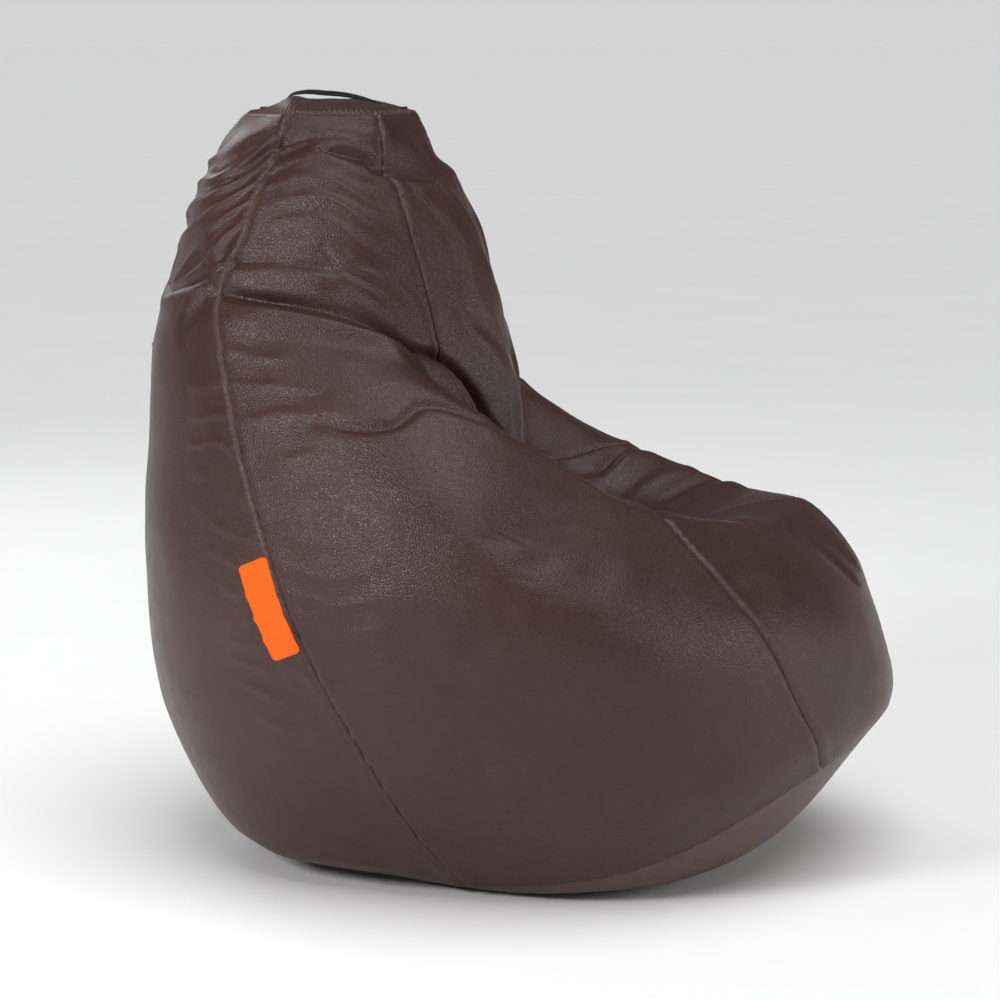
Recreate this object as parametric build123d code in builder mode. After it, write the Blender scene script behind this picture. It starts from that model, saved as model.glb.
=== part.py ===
"""A teardrop bean bag chair: six sewn gores, a round base, a hexagonal cap, a webbing
handle, a zipped liner slot in the back seam and the bead fill, each as its own solid."""

from build123d import *
import os

# ---------------------------------------------------------------- frame and driving sizes
# Row frame: +Z up, the sitter looks along -Y, the sitter's right is -X,
# the origin is the middle of the patch that rests on the floor.
COVER = 2.0  # leatherette with its backing
SEAM_GAP = 0.3  # each cover piece stops this far from its seam line
BASE_LAP = 3.0  # the gores stop this far above the base seam, clear of the base sheet
BASE_SHEET = 2.4  # the base sheet is a little thicker than the gores
CAP_SHEET = 2.4
LINER_DEPTH = 10.5  # outside of the liner, below the outside of the cover
LINER = 0.8
FILL_DEPTH = 13.5  # outside of the bead fill, below the outside of the cover

# Handle: flat webbing along the middle of the cap, front end sewn low, rear end steep.
STRAP_WIDTH = 22.0
STRAP = 1.6
FRONT_END = [(-116, 883.9), (-134, 883.9), (-151.5, 889.2)]  # (ahead, up), sewn to the cap
ARCH = [(-152.5, 889.8), (-170, 895), (-187, 898.4), (-212, 900.8), (-238, 901.8),
        (-251, 899), (-259.5, 891.5)]
REAR_END = [(-262, 889.2), (-265.5, 883.9), (-288, 883.9)]
END_BEND = 3.0  # radius where the webbing turns up off the cap
TACK = (15.0, 2.4, 0.7)  # one bar of dense stitching across a handle end
TACK_GAP = 9.0  # between the two bars of one end
TACK_ABOVE = 0.05  # the thread stands this clear of the webbing
FRONT_TACKS, REAR_TACKS = -123.0, -278.0  # how far ahead the middle of each pair is

# Zip: a straight run in the back centre seam, closed when its slider is at the top.
ZIP_LOW = (-431.5, 345)  # (ahead, up) of the surface at the two ends of the run
ZIP_HIGH = (-417.6, 612)
ZIP_DEPTH = 3.8  # middle of the coils below the outside of the cover
SLOT_WIDTH = 14.0
SLOT_END = 8.0  # the slot runs this far past the coils at each end
COIL = 2.4
COIL_SLIT = 1.2  # clear slit between the two coil rows
TAPE_WIDTH = 12.0
TAPE = 0.7
COIL_ROUNDING = 0.8
TAPE_GAP = 0.05  # between a coil and its tape
STOP_EXTRA = 0.3  # the end stops stand this proud of the coils
SLIDER = (9.6, 14.0)
SLIDER_CORNER = 2.4
SLIDER_WEB = 5.0  # the web between the plates is this much shorter than they are
PLATE = 1.4
PLATE_GAP = 0.35  # between a slider plate and the coils
LUG = (1.0, 5.0, 0.4)  # the two ears that carry the pull's pin
LUG_SPACING = 5.2
LUG_ABOVE_PIN = 1.1
PIN_RADIUS = 0.7
PIN_HEIGHT = 1.7  # pin above the outside of the cover
PIN_CLEARANCE = 0.3
PULL_LENGTH = 30.0
PULL_WIDTH = 7.0
PULL_CORNER = 2.2
PULL = 1.3
PULL_NECK = (3.2, 6.0)
PULL_EYE = 3.2  # width of the eye round the pin
PULL_HOLE = 1.8

# Label: a patch sewn on the back right gore, one long edge on the seam.
LABEL_LENGTH = 112.0
LABEL_WIDTH = 44.0
LABEL = 1.0
LABEL_TOP = 408.0  # height of the seam where the label's upper edge meets it
LABEL_EDGE = 3.0  # the label's long edge lies this far from the seam
LABEL_ABOVE = 0.8  # between the label and the gore
LABEL_STEPS = (7, 4)  # pieces along and across the label

# Stations of the bag, from the floor to the cap. Each line is one ring of the right half,
# read from the front centre seam (0) round the right side to the back centre seam (180)
# in steps of 30 degrees, as (ahead, out, up) in millimetres.
RINGS = {
    "floor": [(215, 0, 0), (190, 115, 0), (120, 195, 0), (5, 225, 0), (-90, 195, 0),
              (-160, 110, 0), (-190, 0, 0)],
    "sole": [(345, 0, 58), (325, 125, 50), (252, 222, 30), (80, 278, 12), (-62, 225, 5),
             (-160, 132, 4), (-208, 0, 4)],
    "base seam": [(465, 0, 178), (430, 122, 168), (358, 235, 146), (150, 303, 48),
                  (-45, 248, 12), (-172, 152, 9), (-228, 0, 8)],
    "heel": [(465, 0, 206), (438, 142, 199), (350, 265, 182), (138, 350, 115),
             (-78, 275, 50), (-260, 170, 24), (-325, 0, 32)],
    "low": [(456, 0, 240), (430, 162, 234), (330, 288, 222), (112, 390, 206),
            (-160, 325, 185), (-338, 192, 148), (-396, 0, 130)],
    "belly": [(433, 0, 307), (400, 172, 315), (275, 325, 327), (57, 428, 335),
              (-240, 338, 352), (-382, 202, 356), (-432, 0, 356)],
    "high": [(412, 0, 356), (362, 172, 368), (213, 300, 399), (-39, 395, 459),
             (-289, 280, 500), (-395, 155, 495), (-426, 0, 490)],
    "arm": [(365, 0, 404), (292, 150, 404), (149, 250, 440), (-117, 285, 589),
            (-320, 196, 626), (-393, 108, 620), (-417, 0, 616)],
    "hollow": [(210, 0, 380), (160, 125, 378), (45, 192, 430), (-170, 214, 642),
               (-330, 160, 675), (-386, 85, 672), (-405, 0, 668)],
    "lumbar": [(65, 0, 348), (32, 110, 395), (-66, 178, 565), (-186, 197, 686),
               (-306, 148, 712), (-370, 78, 716), (-391, 0, 717)],
    "shoulder": [(-6, 0, 545), (5, 100, 575), (-98, 157, 690), (-184, 178, 755),
                 (-282, 130, 770), (-348, 70, 776), (-371, 0, 778)],
    "neck": [(-58, 0, 770), (-58, 76, 778), (-128, 122, 800), (-192, 142, 818),
             (-262, 106, 826), (-314, 58, 832), (-338, 0, 835)],
    "cap seam": [(-105, 0, 880), (-127, 44, 880), (-149, 88, 880), (-199, 89, 880),
                 (-248, 88, 880), (-275, 44, 880), (-303, 0, 880)],
}
AROUND = 6  # steps between two 30 degree stations
ALONG = 3  # steps between two rings
COARSE = 2  # the liner and the beads follow every second column of the cover
CORNER_CUT = 0.15  # how far liner and beads cut the corner at the base seam


# ---------------------------------------------------------------- shaping helpers
def world(ahead, out, up):
    """A station as a point of the row frame."""
    return Vector(-out, -ahead, up)


def smooth(points, steps, closed=False):
    """The cubic through the points, with `steps` pieces from each point to the next."""
    count = len(points)

    def gap(i):
        return (points[(i + 1) % count] - points[i % count]).length

    def tangent(i):
        if not closed and i == 0:
            return (points[1] - points[0]) * (1 / gap(0))
        if not closed and i == count - 1:
            return (points[i] - points[i - 1]) * (1 / gap(i - 1))
        before, after = gap(i - 1), gap(i)
        rise_in = (points[i % count] - points[i - 1]) * (1 / before)
        rise_out = (points[(i + 1) % count] - points[i % count]) * (1 / after)
        return (rise_in * after + rise_out * before) * (1 / (before + after))

    line = []
    for i in range(count if closed else count - 1):
        a, b = points[i], points[(i + 1) % count]
        span, leave, arrive = gap(i), tangent(i), tangent((i + 1) % count)
        for step in range(steps):
            t = step / steps
            line.append(
                a * (2 * t**3 - 3 * t**2 + 1)
                + leave * ((t**3 - 2 * t**2 + t) * span)
                + b * (3 * t**2 - 2 * t**3)
                + arrive * ((t**3 - t**2) * span)
            )
    if not closed:
        line.append(points[-1])
    return line


def full_ring(stations):
    """A station ring closed over the left half, as points of the row frame."""
    right = [world(*station) for station in stations]
    left = [Vector(-p.X, p.Y, p.Z) for p in right[1:-1]]
    return smooth(right + left[::-1], AROUND, closed=True)


def skin(stations):
    """The bag's outside between rings, as rows of points: one row for each height."""
    rings = [full_ring(ring) for ring in stations.values()]
    columns = [smooth([ring[j] for ring in rings], ALONG) for j in range(len(rings[0]))]
    return [[column[i] for column in columns] for i in range(len(columns[0]))]


def sunk(rows, depth):
    """The same rows, moved `depth` straight into the bag."""
    count = len(rows[0])
    result = []
    for i, row in enumerate(rows):
        above, below = rows[min(i + 1, len(rows) - 1)], rows[max(i - 1, 0)]
        line = []
        for j, point in enumerate(row):
            up = above[j] - below[j]
            across = row[(j + 1) % count] - row[j - 1]
            line.append(point + across.cross(up).normalized() * depth)
        result.append(line)
    return result


def pulled_in(rows, first, last):
    """The rows with their first and last lines moved inwards, along the sheet."""

    def shifted(edge, inner, distance):
        return [p + (q - p).normalized() * distance for p, q in zip(edge, inner)]

    return [shifted(rows[0], rows[1], first), *rows[1:-1], shifted(rows[-1], rows[-2], last)]


def gore_points(rows, start, stop):
    """Columns start..stop of the skin, stopped short of the seams all round."""
    columns = [[row[j % len(row)] for row in rows] for j in range(start, stop + 1)]
    columns = pulled_in(columns, SEAM_GAP, SEAM_GAP)
    return pulled_in([list(row) for row in zip(*columns)], BASE_LAP, SEAM_GAP)


def sheet(rows, closed=False):
    """One smooth surface through rows of points."""
    lines = [Wire([Edge.make_spline(row, periodic=closed)]) for row in rows]
    return Shell.make_loft(lines).faces()[0]


def slab(outer_rows, inner_rows):
    """A thin solid between two grids of points: two broad faces and four narrow edges."""
    outer, inner = sheet(outer_rows), sheet(inner_rows)
    rims = []
    for edge in outer.edges():
        twin = inner.edges().sort_by_distance(edge @ 0.5)[0]
        rims.append(Face.make_surface_from_curves(edge, twin))
    return Solid(Shell([outer, inner, *rims]))


def closed_ring(row):
    return Wire([Edge.make_spline(row, periodic=True)])


def filling_rows(depth):
    """The bag's inside in coarse columns, `depth` below the outside of the cover."""
    rows = sunk([row[::COARSE] for row in INSIDE_ROWS], depth)
    rows[0] = [Vector(p.X, p.Y, depth) for p in rows[0]]
    rows[-1] = [Vector(p.X, p.Y, CAP_HEIGHT - depth) for p in rows[-1]]
    return rows


def half(rows, side):
    """The right (0) or left (1) half of closed rows, both edges on the middle plane."""
    middle = len(rows[0]) // 2
    return [(row + row[:1])[side * middle : side * middle + middle + 1] for row in rows]


def clear_of_middle(rows):
    """A half, stopped short of the middle plane at both edges."""
    columns = pulled_in([list(column) for column in zip(*rows)], SEAM_GAP, SEAM_GAP)
    return [list(row) for row in zip(*columns)]


def half_body(rows):
    """The solid between a half and the middle plane, flat at the floor and at the top."""
    side = sheet(rows)
    corners = [rows[0][0], rows[0][-1], rows[-1][-1], rows[-1][0]]
    floor_line, top_line = (Edge.make_line(*corners[:2]), Edge.make_line(*corners[2:]))
    rims = side.edges().sort_by(Axis.Z)
    low, high = rims[0], rims[-1]
    rest = [edge for edge in side.edges() if edge not in (low, high)]
    caps = [Face(Wire([low, floor_line])), Face(Wire([high, top_line]))]
    return Solid(Shell([side, *caps, Face(Wire([*rest, floor_line, top_line]))]))


def save(node, name):
    node.part.label = name
    export_step(node.part, f"parts/{name}.step")
    print(name, len(node.part.solids()), round(node.part.volume))


os.makedirs("parts", exist_ok=True)
CAP_HEIGHT = RINGS["cap seam"][0][2]
BASE_ROWS = skin({name: RINGS[name] for name in ("floor", "sole", "base seam")})
GORE_ROWS = skin({name: RINGS[name] for name in RINGS if name not in ("floor", "sole")})
GORE_INSIDE = sunk(GORE_ROWS, COVER)
rounded = [
    tuple(seam + (sole - seam) * CORNER_CUT for seam, sole in zip(*pair))
    for pair in zip(RINGS["base seam"], RINGS["sole"])
]
INSIDE_ROWS = skin(RINGS | {"base seam": rounded})

zip_foot, zip_head = world(ZIP_LOW[0], 0, ZIP_LOW[1]), world(ZIP_HIGH[0], 0, ZIP_HIGH[1])
zip_up = (zip_head - zip_foot).normalized()
zip_out = zip_up.cross(Vector(1, 0, 0))
ZIP_LENGTH = (zip_head - zip_foot).length
# On this plane x runs to the sitter's right, y up the zip, and z straight out of the back.
ZIP_PLANE = Plane(origin=zip_foot, x_dir=(-1, 0, 0), z_dir=zip_out)
COIL_PLANE = ZIP_PLANE.offset(-ZIP_DEPTH)

# ---------------------------------------------------------------- the six gores
GORES = ["front_right_panel", "right_side_panel", "back_right_panel",
         "back_left_panel", "left_side_panel", "front_left_panel"]
gores = {}
for sixth, gore_name in enumerate(GORES):
    start, stop = 2 * AROUND * sixth, 2 * AROUND * (sixth + 1)
    with BuildPart() as gore:
        add(slab(gore_points(GORE_ROWS, start, stop), gore_points(GORE_INSIDE, start, stop)))
        if gore_name.startswith("back"):
            with BuildSketch(ZIP_PLANE):
                with Locations((0, ZIP_LENGTH / 2)):
                    Rectangle(SLOT_WIDTH, ZIP_LENGTH + 2 * SLOT_END)
            extrude(amount=20, both=True, mode=Mode.SUBTRACT)
    gores[gore_name] = gore
    save(gore, gore_name)

# ---------------------------------------------------------------- base, cap, liner, beads
base_outside = pulled_in(BASE_ROWS, 0, SEAM_GAP)
base_inside = pulled_in(sunk(BASE_ROWS, BASE_SHEET), 0, SEAM_GAP)
base_inside[0] = [Vector(p.X, p.Y, BASE_SHEET) for p in base_inside[0]]
base_faces = [
    sheet(base_outside, closed=True),
    Face(closed_ring(base_outside[0])),
    Face(closed_ring(base_inside[0])),
    sheet(base_inside, closed=True),
    Face.make_surface_from_curves(closed_ring(base_outside[-1]), closed_ring(base_inside[-1])),
]
with BuildPart() as base_panel:
    add(Solid(Shell(base_faces)))
save(base_panel, "base_panel")

cap_corners = [world(*RINGS["cap seam"][i]) for i in (0, 2, 4, 6)]
cap_corners += [Vector(-p.X, p.Y, p.Z) for p in (cap_corners[2], cap_corners[1])]
with BuildPart() as top_cap:
    with BuildSketch(Plane.XY.offset(CAP_HEIGHT + SEAM_GAP)):
        with BuildLine():
            Polyline(*[(p.X, p.Y) for p in cap_corners], close=True)
        make_face()
    extrude(amount=CAP_SHEET)
save(top_cap, "top_cap")

liner_outside = filling_rows(LINER_DEPTH)
liner_inside = filling_rows(LINER_DEPTH + LINER)
for side, liner_name in enumerate(("liner_right_half", "liner_left_half")):
    with BuildPart() as liner:
        outer, inner = (clear_of_middle(half(rows, side)) for rows in (liner_outside, liner_inside))
        add(slab(outer, inner))
    save(liner, liner_name)
for row, height, liner_name in (
    (liner_outside[0], LINER_DEPTH - 0.3 - LINER, "liner_base"),
    (liner_outside[-1], CAP_HEIGHT - LINER_DEPTH + 0.3, "liner_top"),
):
    with BuildPart() as liner:
        with BuildSketch(Plane.XY.offset(height)):
            with BuildLine():
                Spline(*[(p.X, p.Y) for p in row], periodic=True)
            make_face()
        extrude(amount=LINER)
    save(liner, liner_name)

with BuildPart() as bead_fill:
    add(half_body(half(filling_rows(FILL_DEPTH), 0)))
    mirror(about=Plane.YZ)
save(bead_fill, "bead_fill")


# ---------------------------------------------------------------- the carry handle
def side_line(points):
    """(ahead, up) pairs as points of the YZ plane through the middle of the bag."""
    return [(-ahead, up) for ahead, up in points]


with BuildPart() as carry_handle:
    with BuildSketch(Plane.YZ):
        with BuildLine():
            Spline(*side_line(ARCH))
        trace(line_width=STRAP)
    extrude(amount=STRAP_WIDTH / 2, both=True)
save(carry_handle, "carry_handle")

for end_name, points in (("handle_front_end", FRONT_END), ("handle_rear_end", REAR_END)):
    with BuildPart() as handle_end:
        with BuildSketch(Plane.YZ):
            with BuildLine():
                FilletPolyline(*side_line(points), radius=END_BEND)
            trace(line_width=STRAP)
        extrude(amount=STRAP_WIDTH / 2, both=True)
    save(handle_end, end_name)

tack_base = FRONT_END[0][1] + STRAP / 2 + TACK_ABOVE
for tack_name, middle in (("front_bar_tacks", FRONT_TACKS), ("rear_bar_tacks", REAR_TACKS)):
    with BuildPart() as tacks:
        with BuildSketch(Plane.XY.offset(tack_base)):
            with Locations((0, -middle)):
                with GridLocations(0, TACK_GAP, 1, 2):
                    SlotOverall(TACK[0], TACK[1])
        extrude(amount=TACK[2])
    save(tacks, tack_name)

# ---------------------------------------------------------------- the zip
coil_middle = COIL_SLIT / 2 + COIL / 2
for side, sign in (("right", 1), ("left", -1)):
    with BuildPart() as coil:
        with BuildSketch(COIL_PLANE):
            with Locations((sign * coil_middle, ZIP_LENGTH / 2)):
                Rectangle(COIL, ZIP_LENGTH)
        extrude(amount=COIL / 2, both=True)
        fillet(coil.edges().filter_by(Axis(zip_foot, zip_up)), radius=COIL_ROUNDING)
    save(coil, f"zip_coil_{side}")
    with BuildPart() as tape:
        with BuildSketch(COIL_PLANE):
            near = COIL_SLIT / 2 + COIL + TAPE_GAP
            with Locations((sign * (near + TAPE_WIDTH / 2), ZIP_LENGTH / 2)):
                Rectangle(TAPE_WIDTH, ZIP_LENGTH + 2 * SLOT_END)
        extrude(amount=TAPE / 2, both=True)
    save(tape, f"zip_tape_{side}")

with BuildPart() as zip_top_stops:
    with BuildSketch(COIL_PLANE):
        with Locations((0, ZIP_LENGTH + 2.2)):
            with GridLocations(2 * coil_middle, 0, 2, 1):
                RectangleRounded(COIL, 3.6, 0.6)
    extrude(amount=COIL / 2 + STOP_EXTRA, both=True)
save(zip_top_stops, "zip_top_stops")

with BuildPart() as zip_bottom_stop:
    with BuildSketch(COIL_PLANE):
        with Locations((0, -2.6)):
            RectangleRounded(2 * COIL + COIL_SLIT, 4.4, 0.8)
    extrude(amount=COIL / 2 + STOP_EXTRA, both=True)
save(zip_bottom_stop, "zip_bottom_stop")

SLIDER_MIDDLE = ZIP_LENGTH - SLIDER[1] / 2 - 0.5
plate_inside = COIL / 2 + PLATE_GAP
with BuildPart() as zip_slider:
    for face_side in (1, -1):
        with BuildSketch(COIL_PLANE.offset(face_side * plate_inside)):
            with Locations((0, SLIDER_MIDDLE)):
                RectangleRounded(*SLIDER, SLIDER_CORNER)
        extrude(amount=face_side * PLATE)
    with BuildSketch(COIL_PLANE):
        with Locations((0, SLIDER_MIDDLE)):
            Rectangle(COIL_SLIT / 2, SLIDER[1] - SLIDER_WEB)
    extrude(amount=plate_inside, both=True)
    plate_top = plate_inside + PLATE - ZIP_DEPTH
    with BuildSketch(ZIP_PLANE.offset(plate_top)):
        with Locations((0, SLIDER_MIDDLE)):
            with GridLocations(LUG_SPACING, 0, 2, 1):
                RectangleRounded(*LUG)
    extrude(amount=PIN_HEIGHT + LUG_ABOVE_PIN - plate_top)
    pin_plane = Plane(
        origin=ZIP_PLANE.from_local_coords((-LUG_SPACING / 2, SLIDER_MIDDLE, PIN_HEIGHT)),
        x_dir=zip_up,
        z_dir=(-1, 0, 0),
    )
    with BuildSketch(pin_plane):
        Circle(PIN_RADIUS)
    extrude(amount=LUG_SPACING)
save(zip_slider, "zip_slider")

eye_plane = pin_plane.offset((LUG_SPACING - PULL_EYE) / 2)
with BuildPart() as zip_pull:
    with BuildSketch(ZIP_PLANE.offset(PIN_HEIGHT)):
        with Locations((0, SLIDER_MIDDLE - PULL_LENGTH / 2 - 2)):
            RectangleRounded(PULL_WIDTH, PULL_LENGTH - 4, PULL_CORNER)
        with Locations((0, SLIDER_MIDDLE - PULL_NECK[1] / 2)):
            Rectangle(*PULL_NECK)
        with Locations((0, SLIDER_MIDDLE - PULL_LENGTH + 5)):
            Circle(PULL_HOLE, mode=Mode.SUBTRACT)
    extrude(amount=PULL / 2, both=True)
    with BuildSketch(eye_plane):
        Circle(PIN_RADIUS + PIN_CLEARANCE + 0.7)
    extrude(amount=PULL_EYE)
    with BuildSketch(eye_plane):
        Circle(PIN_RADIUS + PIN_CLEARANCE)
    extrude(amount=PULL_EYE, mode=Mode.SUBTRACT)
save(zip_pull, "zip_pull")
print("pull pin", pin_plane.origin, "zip down", zip_up * -1, "length", ZIP_LENGTH)

# ---------------------------------------------------------------- the label
seam = [row[4 * AROUND] for row in GORE_ROWS]
seam_above = min((p for p in seam if p.Z > LABEL_TOP), key=lambda p: p.Z)
seam_below = max((p for p in seam if p.Z < LABEL_TOP - LABEL_LENGTH), key=lambda p: p.Z)
down_seam = (seam_below - seam_above).normalized()
corner = seam_above + down_seam * ((seam_above.Z - LABEL_TOP) / -down_seam.Z)
back_side = [row[5 * AROUND] for row in GORE_ROWS]
towards_back = min(back_side, key=lambda p: (p - corner).length) - corner
label_normal = towards_back.cross(down_seam).normalized()
across_label = down_seam.cross(label_normal).normalized()
label_ground = sheet([row[4 * AROUND : 6 * AROUND + 1] for row in GORE_ROWS[3:19]])


def on_cover(along, across, above):
    """A point of the label, `above` the back right gore."""
    start = corner + down_seam * along + across_label * across + label_normal * LABEL_WIDTH
    hits = label_ground.find_intersection_points(Axis(start, label_normal * -1))
    nearest = min(hits, key=lambda hit: (hit[0] - start).length)
    return nearest[0] + label_normal * above


def label_face(above):
    """Rows of points of one face of the label."""
    downs, acrosses = LABEL_STEPS
    return [
        [
            on_cover(i * LABEL_LENGTH / downs, LABEL_EDGE + j * LABEL_WIDTH / acrosses, above)
            for j in range(acrosses + 1)
        ]
        for i in range(downs + 1)
    ]


with BuildPart() as side_label:
    add(slab(label_face(LABEL_ABOVE + LABEL), label_face(LABEL_ABOVE)))
save(side_label, "side_label")
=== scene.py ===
# %% [markdown]
# # A teardrop bean bag chair
# The real chair is a sewn cover round a sack of loose beads. Six long gores run from a
# hexagonal cap down to a round base, and pushing the front down makes the seat. The fixed
# frame is loaded first, because every piece below goes where that frame says.

# %% Load the frame
import math

import bpy
import numpy as np
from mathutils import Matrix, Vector, noise
from mathutils.bvhtree import BVHTree


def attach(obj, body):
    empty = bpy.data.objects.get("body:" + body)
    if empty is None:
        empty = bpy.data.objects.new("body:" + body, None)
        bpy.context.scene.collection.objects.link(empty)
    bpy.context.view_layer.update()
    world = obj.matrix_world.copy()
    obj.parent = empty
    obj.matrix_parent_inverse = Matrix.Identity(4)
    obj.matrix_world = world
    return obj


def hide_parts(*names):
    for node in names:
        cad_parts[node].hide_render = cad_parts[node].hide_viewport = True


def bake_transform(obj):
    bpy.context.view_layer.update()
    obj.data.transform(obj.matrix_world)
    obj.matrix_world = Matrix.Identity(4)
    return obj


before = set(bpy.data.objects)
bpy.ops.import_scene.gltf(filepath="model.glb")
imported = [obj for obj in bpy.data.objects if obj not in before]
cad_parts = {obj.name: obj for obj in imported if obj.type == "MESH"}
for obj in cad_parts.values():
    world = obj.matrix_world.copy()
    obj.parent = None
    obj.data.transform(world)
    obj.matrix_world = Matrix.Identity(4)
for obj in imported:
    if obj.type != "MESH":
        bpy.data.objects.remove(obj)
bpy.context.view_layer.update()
MM = 0.001

# %% [markdown]
# ## The shape of the sat-in bag
# A real pattern is flat, and the bag only gets its shape when it is filled and pushed. That
# shape is easiest to give with stations: thirteen rings from the floor to the cap, each
# read every 30 degrees from the front round the sitter's right side to the back. The left
# half is the mirror image. A smooth curve through the stations gives any number of rows and
# columns, so the same few points serve the cover, the liner and the beads.

# %% Stations of the bag
# (ahead, out, up) in millimetres at 0, 30, ... 180 degrees round from the front centre seam.
RINGS = {
    "floor": [(215, 0, 0), (190, 115, 0), (120, 195, 0), (5, 225, 0), (-90, 195, 0),
              (-160, 110, 0), (-190, 0, 0)],
    "sole": [(345, 0, 58), (325, 125, 50), (252, 222, 30), (80, 278, 12), (-62, 225, 5),
             (-160, 132, 4), (-208, 0, 4)],
    "base seam": [(465, 0, 178), (430, 122, 168), (358, 235, 146), (150, 303, 48),
                  (-45, 248, 12), (-172, 152, 9), (-228, 0, 8)],
    "heel": [(465, 0, 206), (438, 142, 199), (350, 265, 182), (138, 350, 115),
             (-78, 275, 50), (-260, 170, 24), (-325, 0, 32)],
    "low": [(456, 0, 240), (430, 162, 234), (330, 288, 222), (112, 390, 206),
            (-160, 325, 185), (-338, 192, 148), (-396, 0, 130)],
    "belly": [(433, 0, 307), (400, 172, 315), (275, 325, 327), (57, 428, 335),
              (-240, 338, 352), (-382, 202, 356), (-432, 0, 356)],
    "high": [(412, 0, 356), (362, 172, 368), (213, 300, 399), (-39, 395, 459),
             (-289, 280, 500), (-395, 155, 495), (-426, 0, 490)],
    "arm": [(365, 0, 404), (292, 150, 404), (149, 250, 440), (-117, 285, 589),
            (-320, 196, 626), (-393, 108, 620), (-417, 0, 616)],
    "hollow": [(210, 0, 380), (160, 125, 378), (45, 192, 430), (-170, 214, 642),
               (-330, 160, 675), (-386, 85, 672), (-405, 0, 668)],
    "lumbar": [(65, 0, 348), (32, 110, 395), (-66, 178, 565), (-186, 197, 686),
               (-306, 148, 712), (-370, 78, 716), (-391, 0, 717)],
    "shoulder": [(-6, 0, 545), (5, 100, 575), (-98, 157, 690), (-184, 178, 755),
                 (-282, 130, 770), (-348, 70, 776), (-371, 0, 778)],
    "neck": [(-58, 0, 770), (-58, 76, 778), (-128, 122, 800), (-192, 142, 818),
             (-262, 106, 826), (-314, 58, 832), (-338, 0, 835)],
    "cap seam": [(-105, 0, 880), (-127, 44, 880), (-149, 88, 880), (-199, 89, 880),
                 (-248, 88, 880), (-275, 44, 880), (-303, 0, 880)],
}
GORE_RINGS = list(RINGS)[2:]
BASE_RINGS = list(RINGS)[:3]
print(len(RINGS), "rings,", len(GORE_RINGS), "of them on the gores")

# %% [markdown]
# ## A smooth skin through the stations
# A cubic curve that takes its slope at each station from both neighbours passes through
# every point and never swings wide. It runs round each ring first, and then from ring to
# ring. A NURBS surface would pass beside its points, and here the points are the pattern.


# %% Curves through the stations
def curve_at(points, where, closed=False):
    """The cubic through points along the first axis, read at `where` (0 is the first)."""
    count = len(points)
    spans = count if closed else count - 1
    leap = [points[(k + 1) % count] - points[k] for k in range(spans)]
    gap = np.array([np.linalg.norm(v, axis=-1, keepdims=True) for v in leap])
    slope = [v / g for v, g in zip(leap, gap)]

    def tangent(k):
        if not closed and k in (0, count - 1):
            return slope[min(k, spans - 1)]
        before, after = (k - 1) % count, k % count
        rise = slope[before] * gap[after] + slope[after] * gap[before]
        return rise / (gap[before] + gap[after])

    tangents = np.array([tangent(k) for k in range(count)])
    span = np.minimum(where.astype(int), spans - 1)
    t = (where - span).reshape(-1, *[1] * (points.ndim - 1))
    after = (span + 1) % count
    return (
        points[span] * (2 * t**3 - 3 * t**2 + 1)
        + tangents[span] * gap[span] * (t**3 - 2 * t**2 + t)
        + points[after] * (3 * t**2 - 2 * t**3)
        + tangents[after] * gap[span] * (t**3 - t**2)
    )


def full_ring(stations, columns):
    """One ring in metres, read at `columns`, counted in steps of 30 degrees."""
    right = np.array([(-out, -ahead, up) for ahead, out, up in stations]) * MM
    left = right[1:-1][::-1] * (-1, 1, 1)
    return curve_at(np.concatenate([right, left]), columns, closed=True)


def skin(names, levels, columns):
    """Grid of points over the named rings: one row a level, one column an angle."""
    return curve_at(np.array([full_ring(RINGS[name], columns) for name in names]), levels)


belly = full_ring(RINGS["belly"], np.linspace(0, 12, 121))
belly_round = np.linalg.norm(np.diff(belly, axis=0), axis=-1).sum()
print("belly", round(float(belly_round) / MM), "mm round")

# %% [markdown]
# Columns crowd together at the seams, where the groove and the turned edge need them, and
# rows lie closer where the shape changes fast.


# %% Rows, columns and normals
def stepped(steps):
    """Levels with steps[k] even rows from ring k to ring k + 1."""
    rows = [k + np.arange(count) / count for k, count in enumerate(steps)]
    return np.concatenate([*rows, [len(steps)]])


def normals(grid):
    """Outward unit normals of a grid whose columns close round the bag."""
    up = np.gradient(grid, axis=0)
    across = np.roll(grid, -1, 1) - np.roll(grid, 1, 1)
    out = np.cross(up, across)
    return out / (np.linalg.norm(out, axis=-1, keepdims=True) + 1e-12)


# Places across a gore, from 0 at one seam to 1 at the next.
near_seam = np.array([0, 0.0012, 0.003, 0.006, 0.011, 0.018, 0.028, 0.042])
MIDDLE_COLUMNS = 80
middle = np.linspace(0.06, 0.94, MIDDLE_COLUMNS)
ACROSS_GORE = np.concatenate([near_seam, middle, 1 - near_seam[::-1]])
GORE_STEP = len(ACROSS_GORE) - 1
COLUMNS = np.concatenate([2 * gore + 2 * ACROSS_GORE[:-1] for gore in range(6)])
ROWS = [12, 24, 44, 36, 50, 40, 40, 46, 36, 30]
LEVELS = stepped(ROWS)
plain = skin(GORE_RINGS, LEVELS, COLUMNS)
print("cover grid", plain.shape)

# %% [markdown]
# ## Folds and wrinkles
# Leatherette hardly stretches, so where the neck leans back over the arms there is more of
# it than the shape needs, and it folds. The deep folds always come in the same places, so
# each is drawn one by one: a line across the bag, a depth, and a soft lip that leans over it.
# The shallow wrinkles come in families with one direction each, and a family is a wave with
# sharp crests, bent by noise and faded out at its edges.


# %% Tools for folds
def fade(value, low, high, soft):
    """1 between low and high, falling smoothly to 0 over `soft` outside them."""
    rise = np.clip((value - (low - soft)) / soft, 0, 1)
    fall = np.clip(((high + soft) - value) / soft, 0, 1)
    return (rise * rise * (3 - 2 * rise)) * (fall * fall * (3 - 2 * fall))


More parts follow.
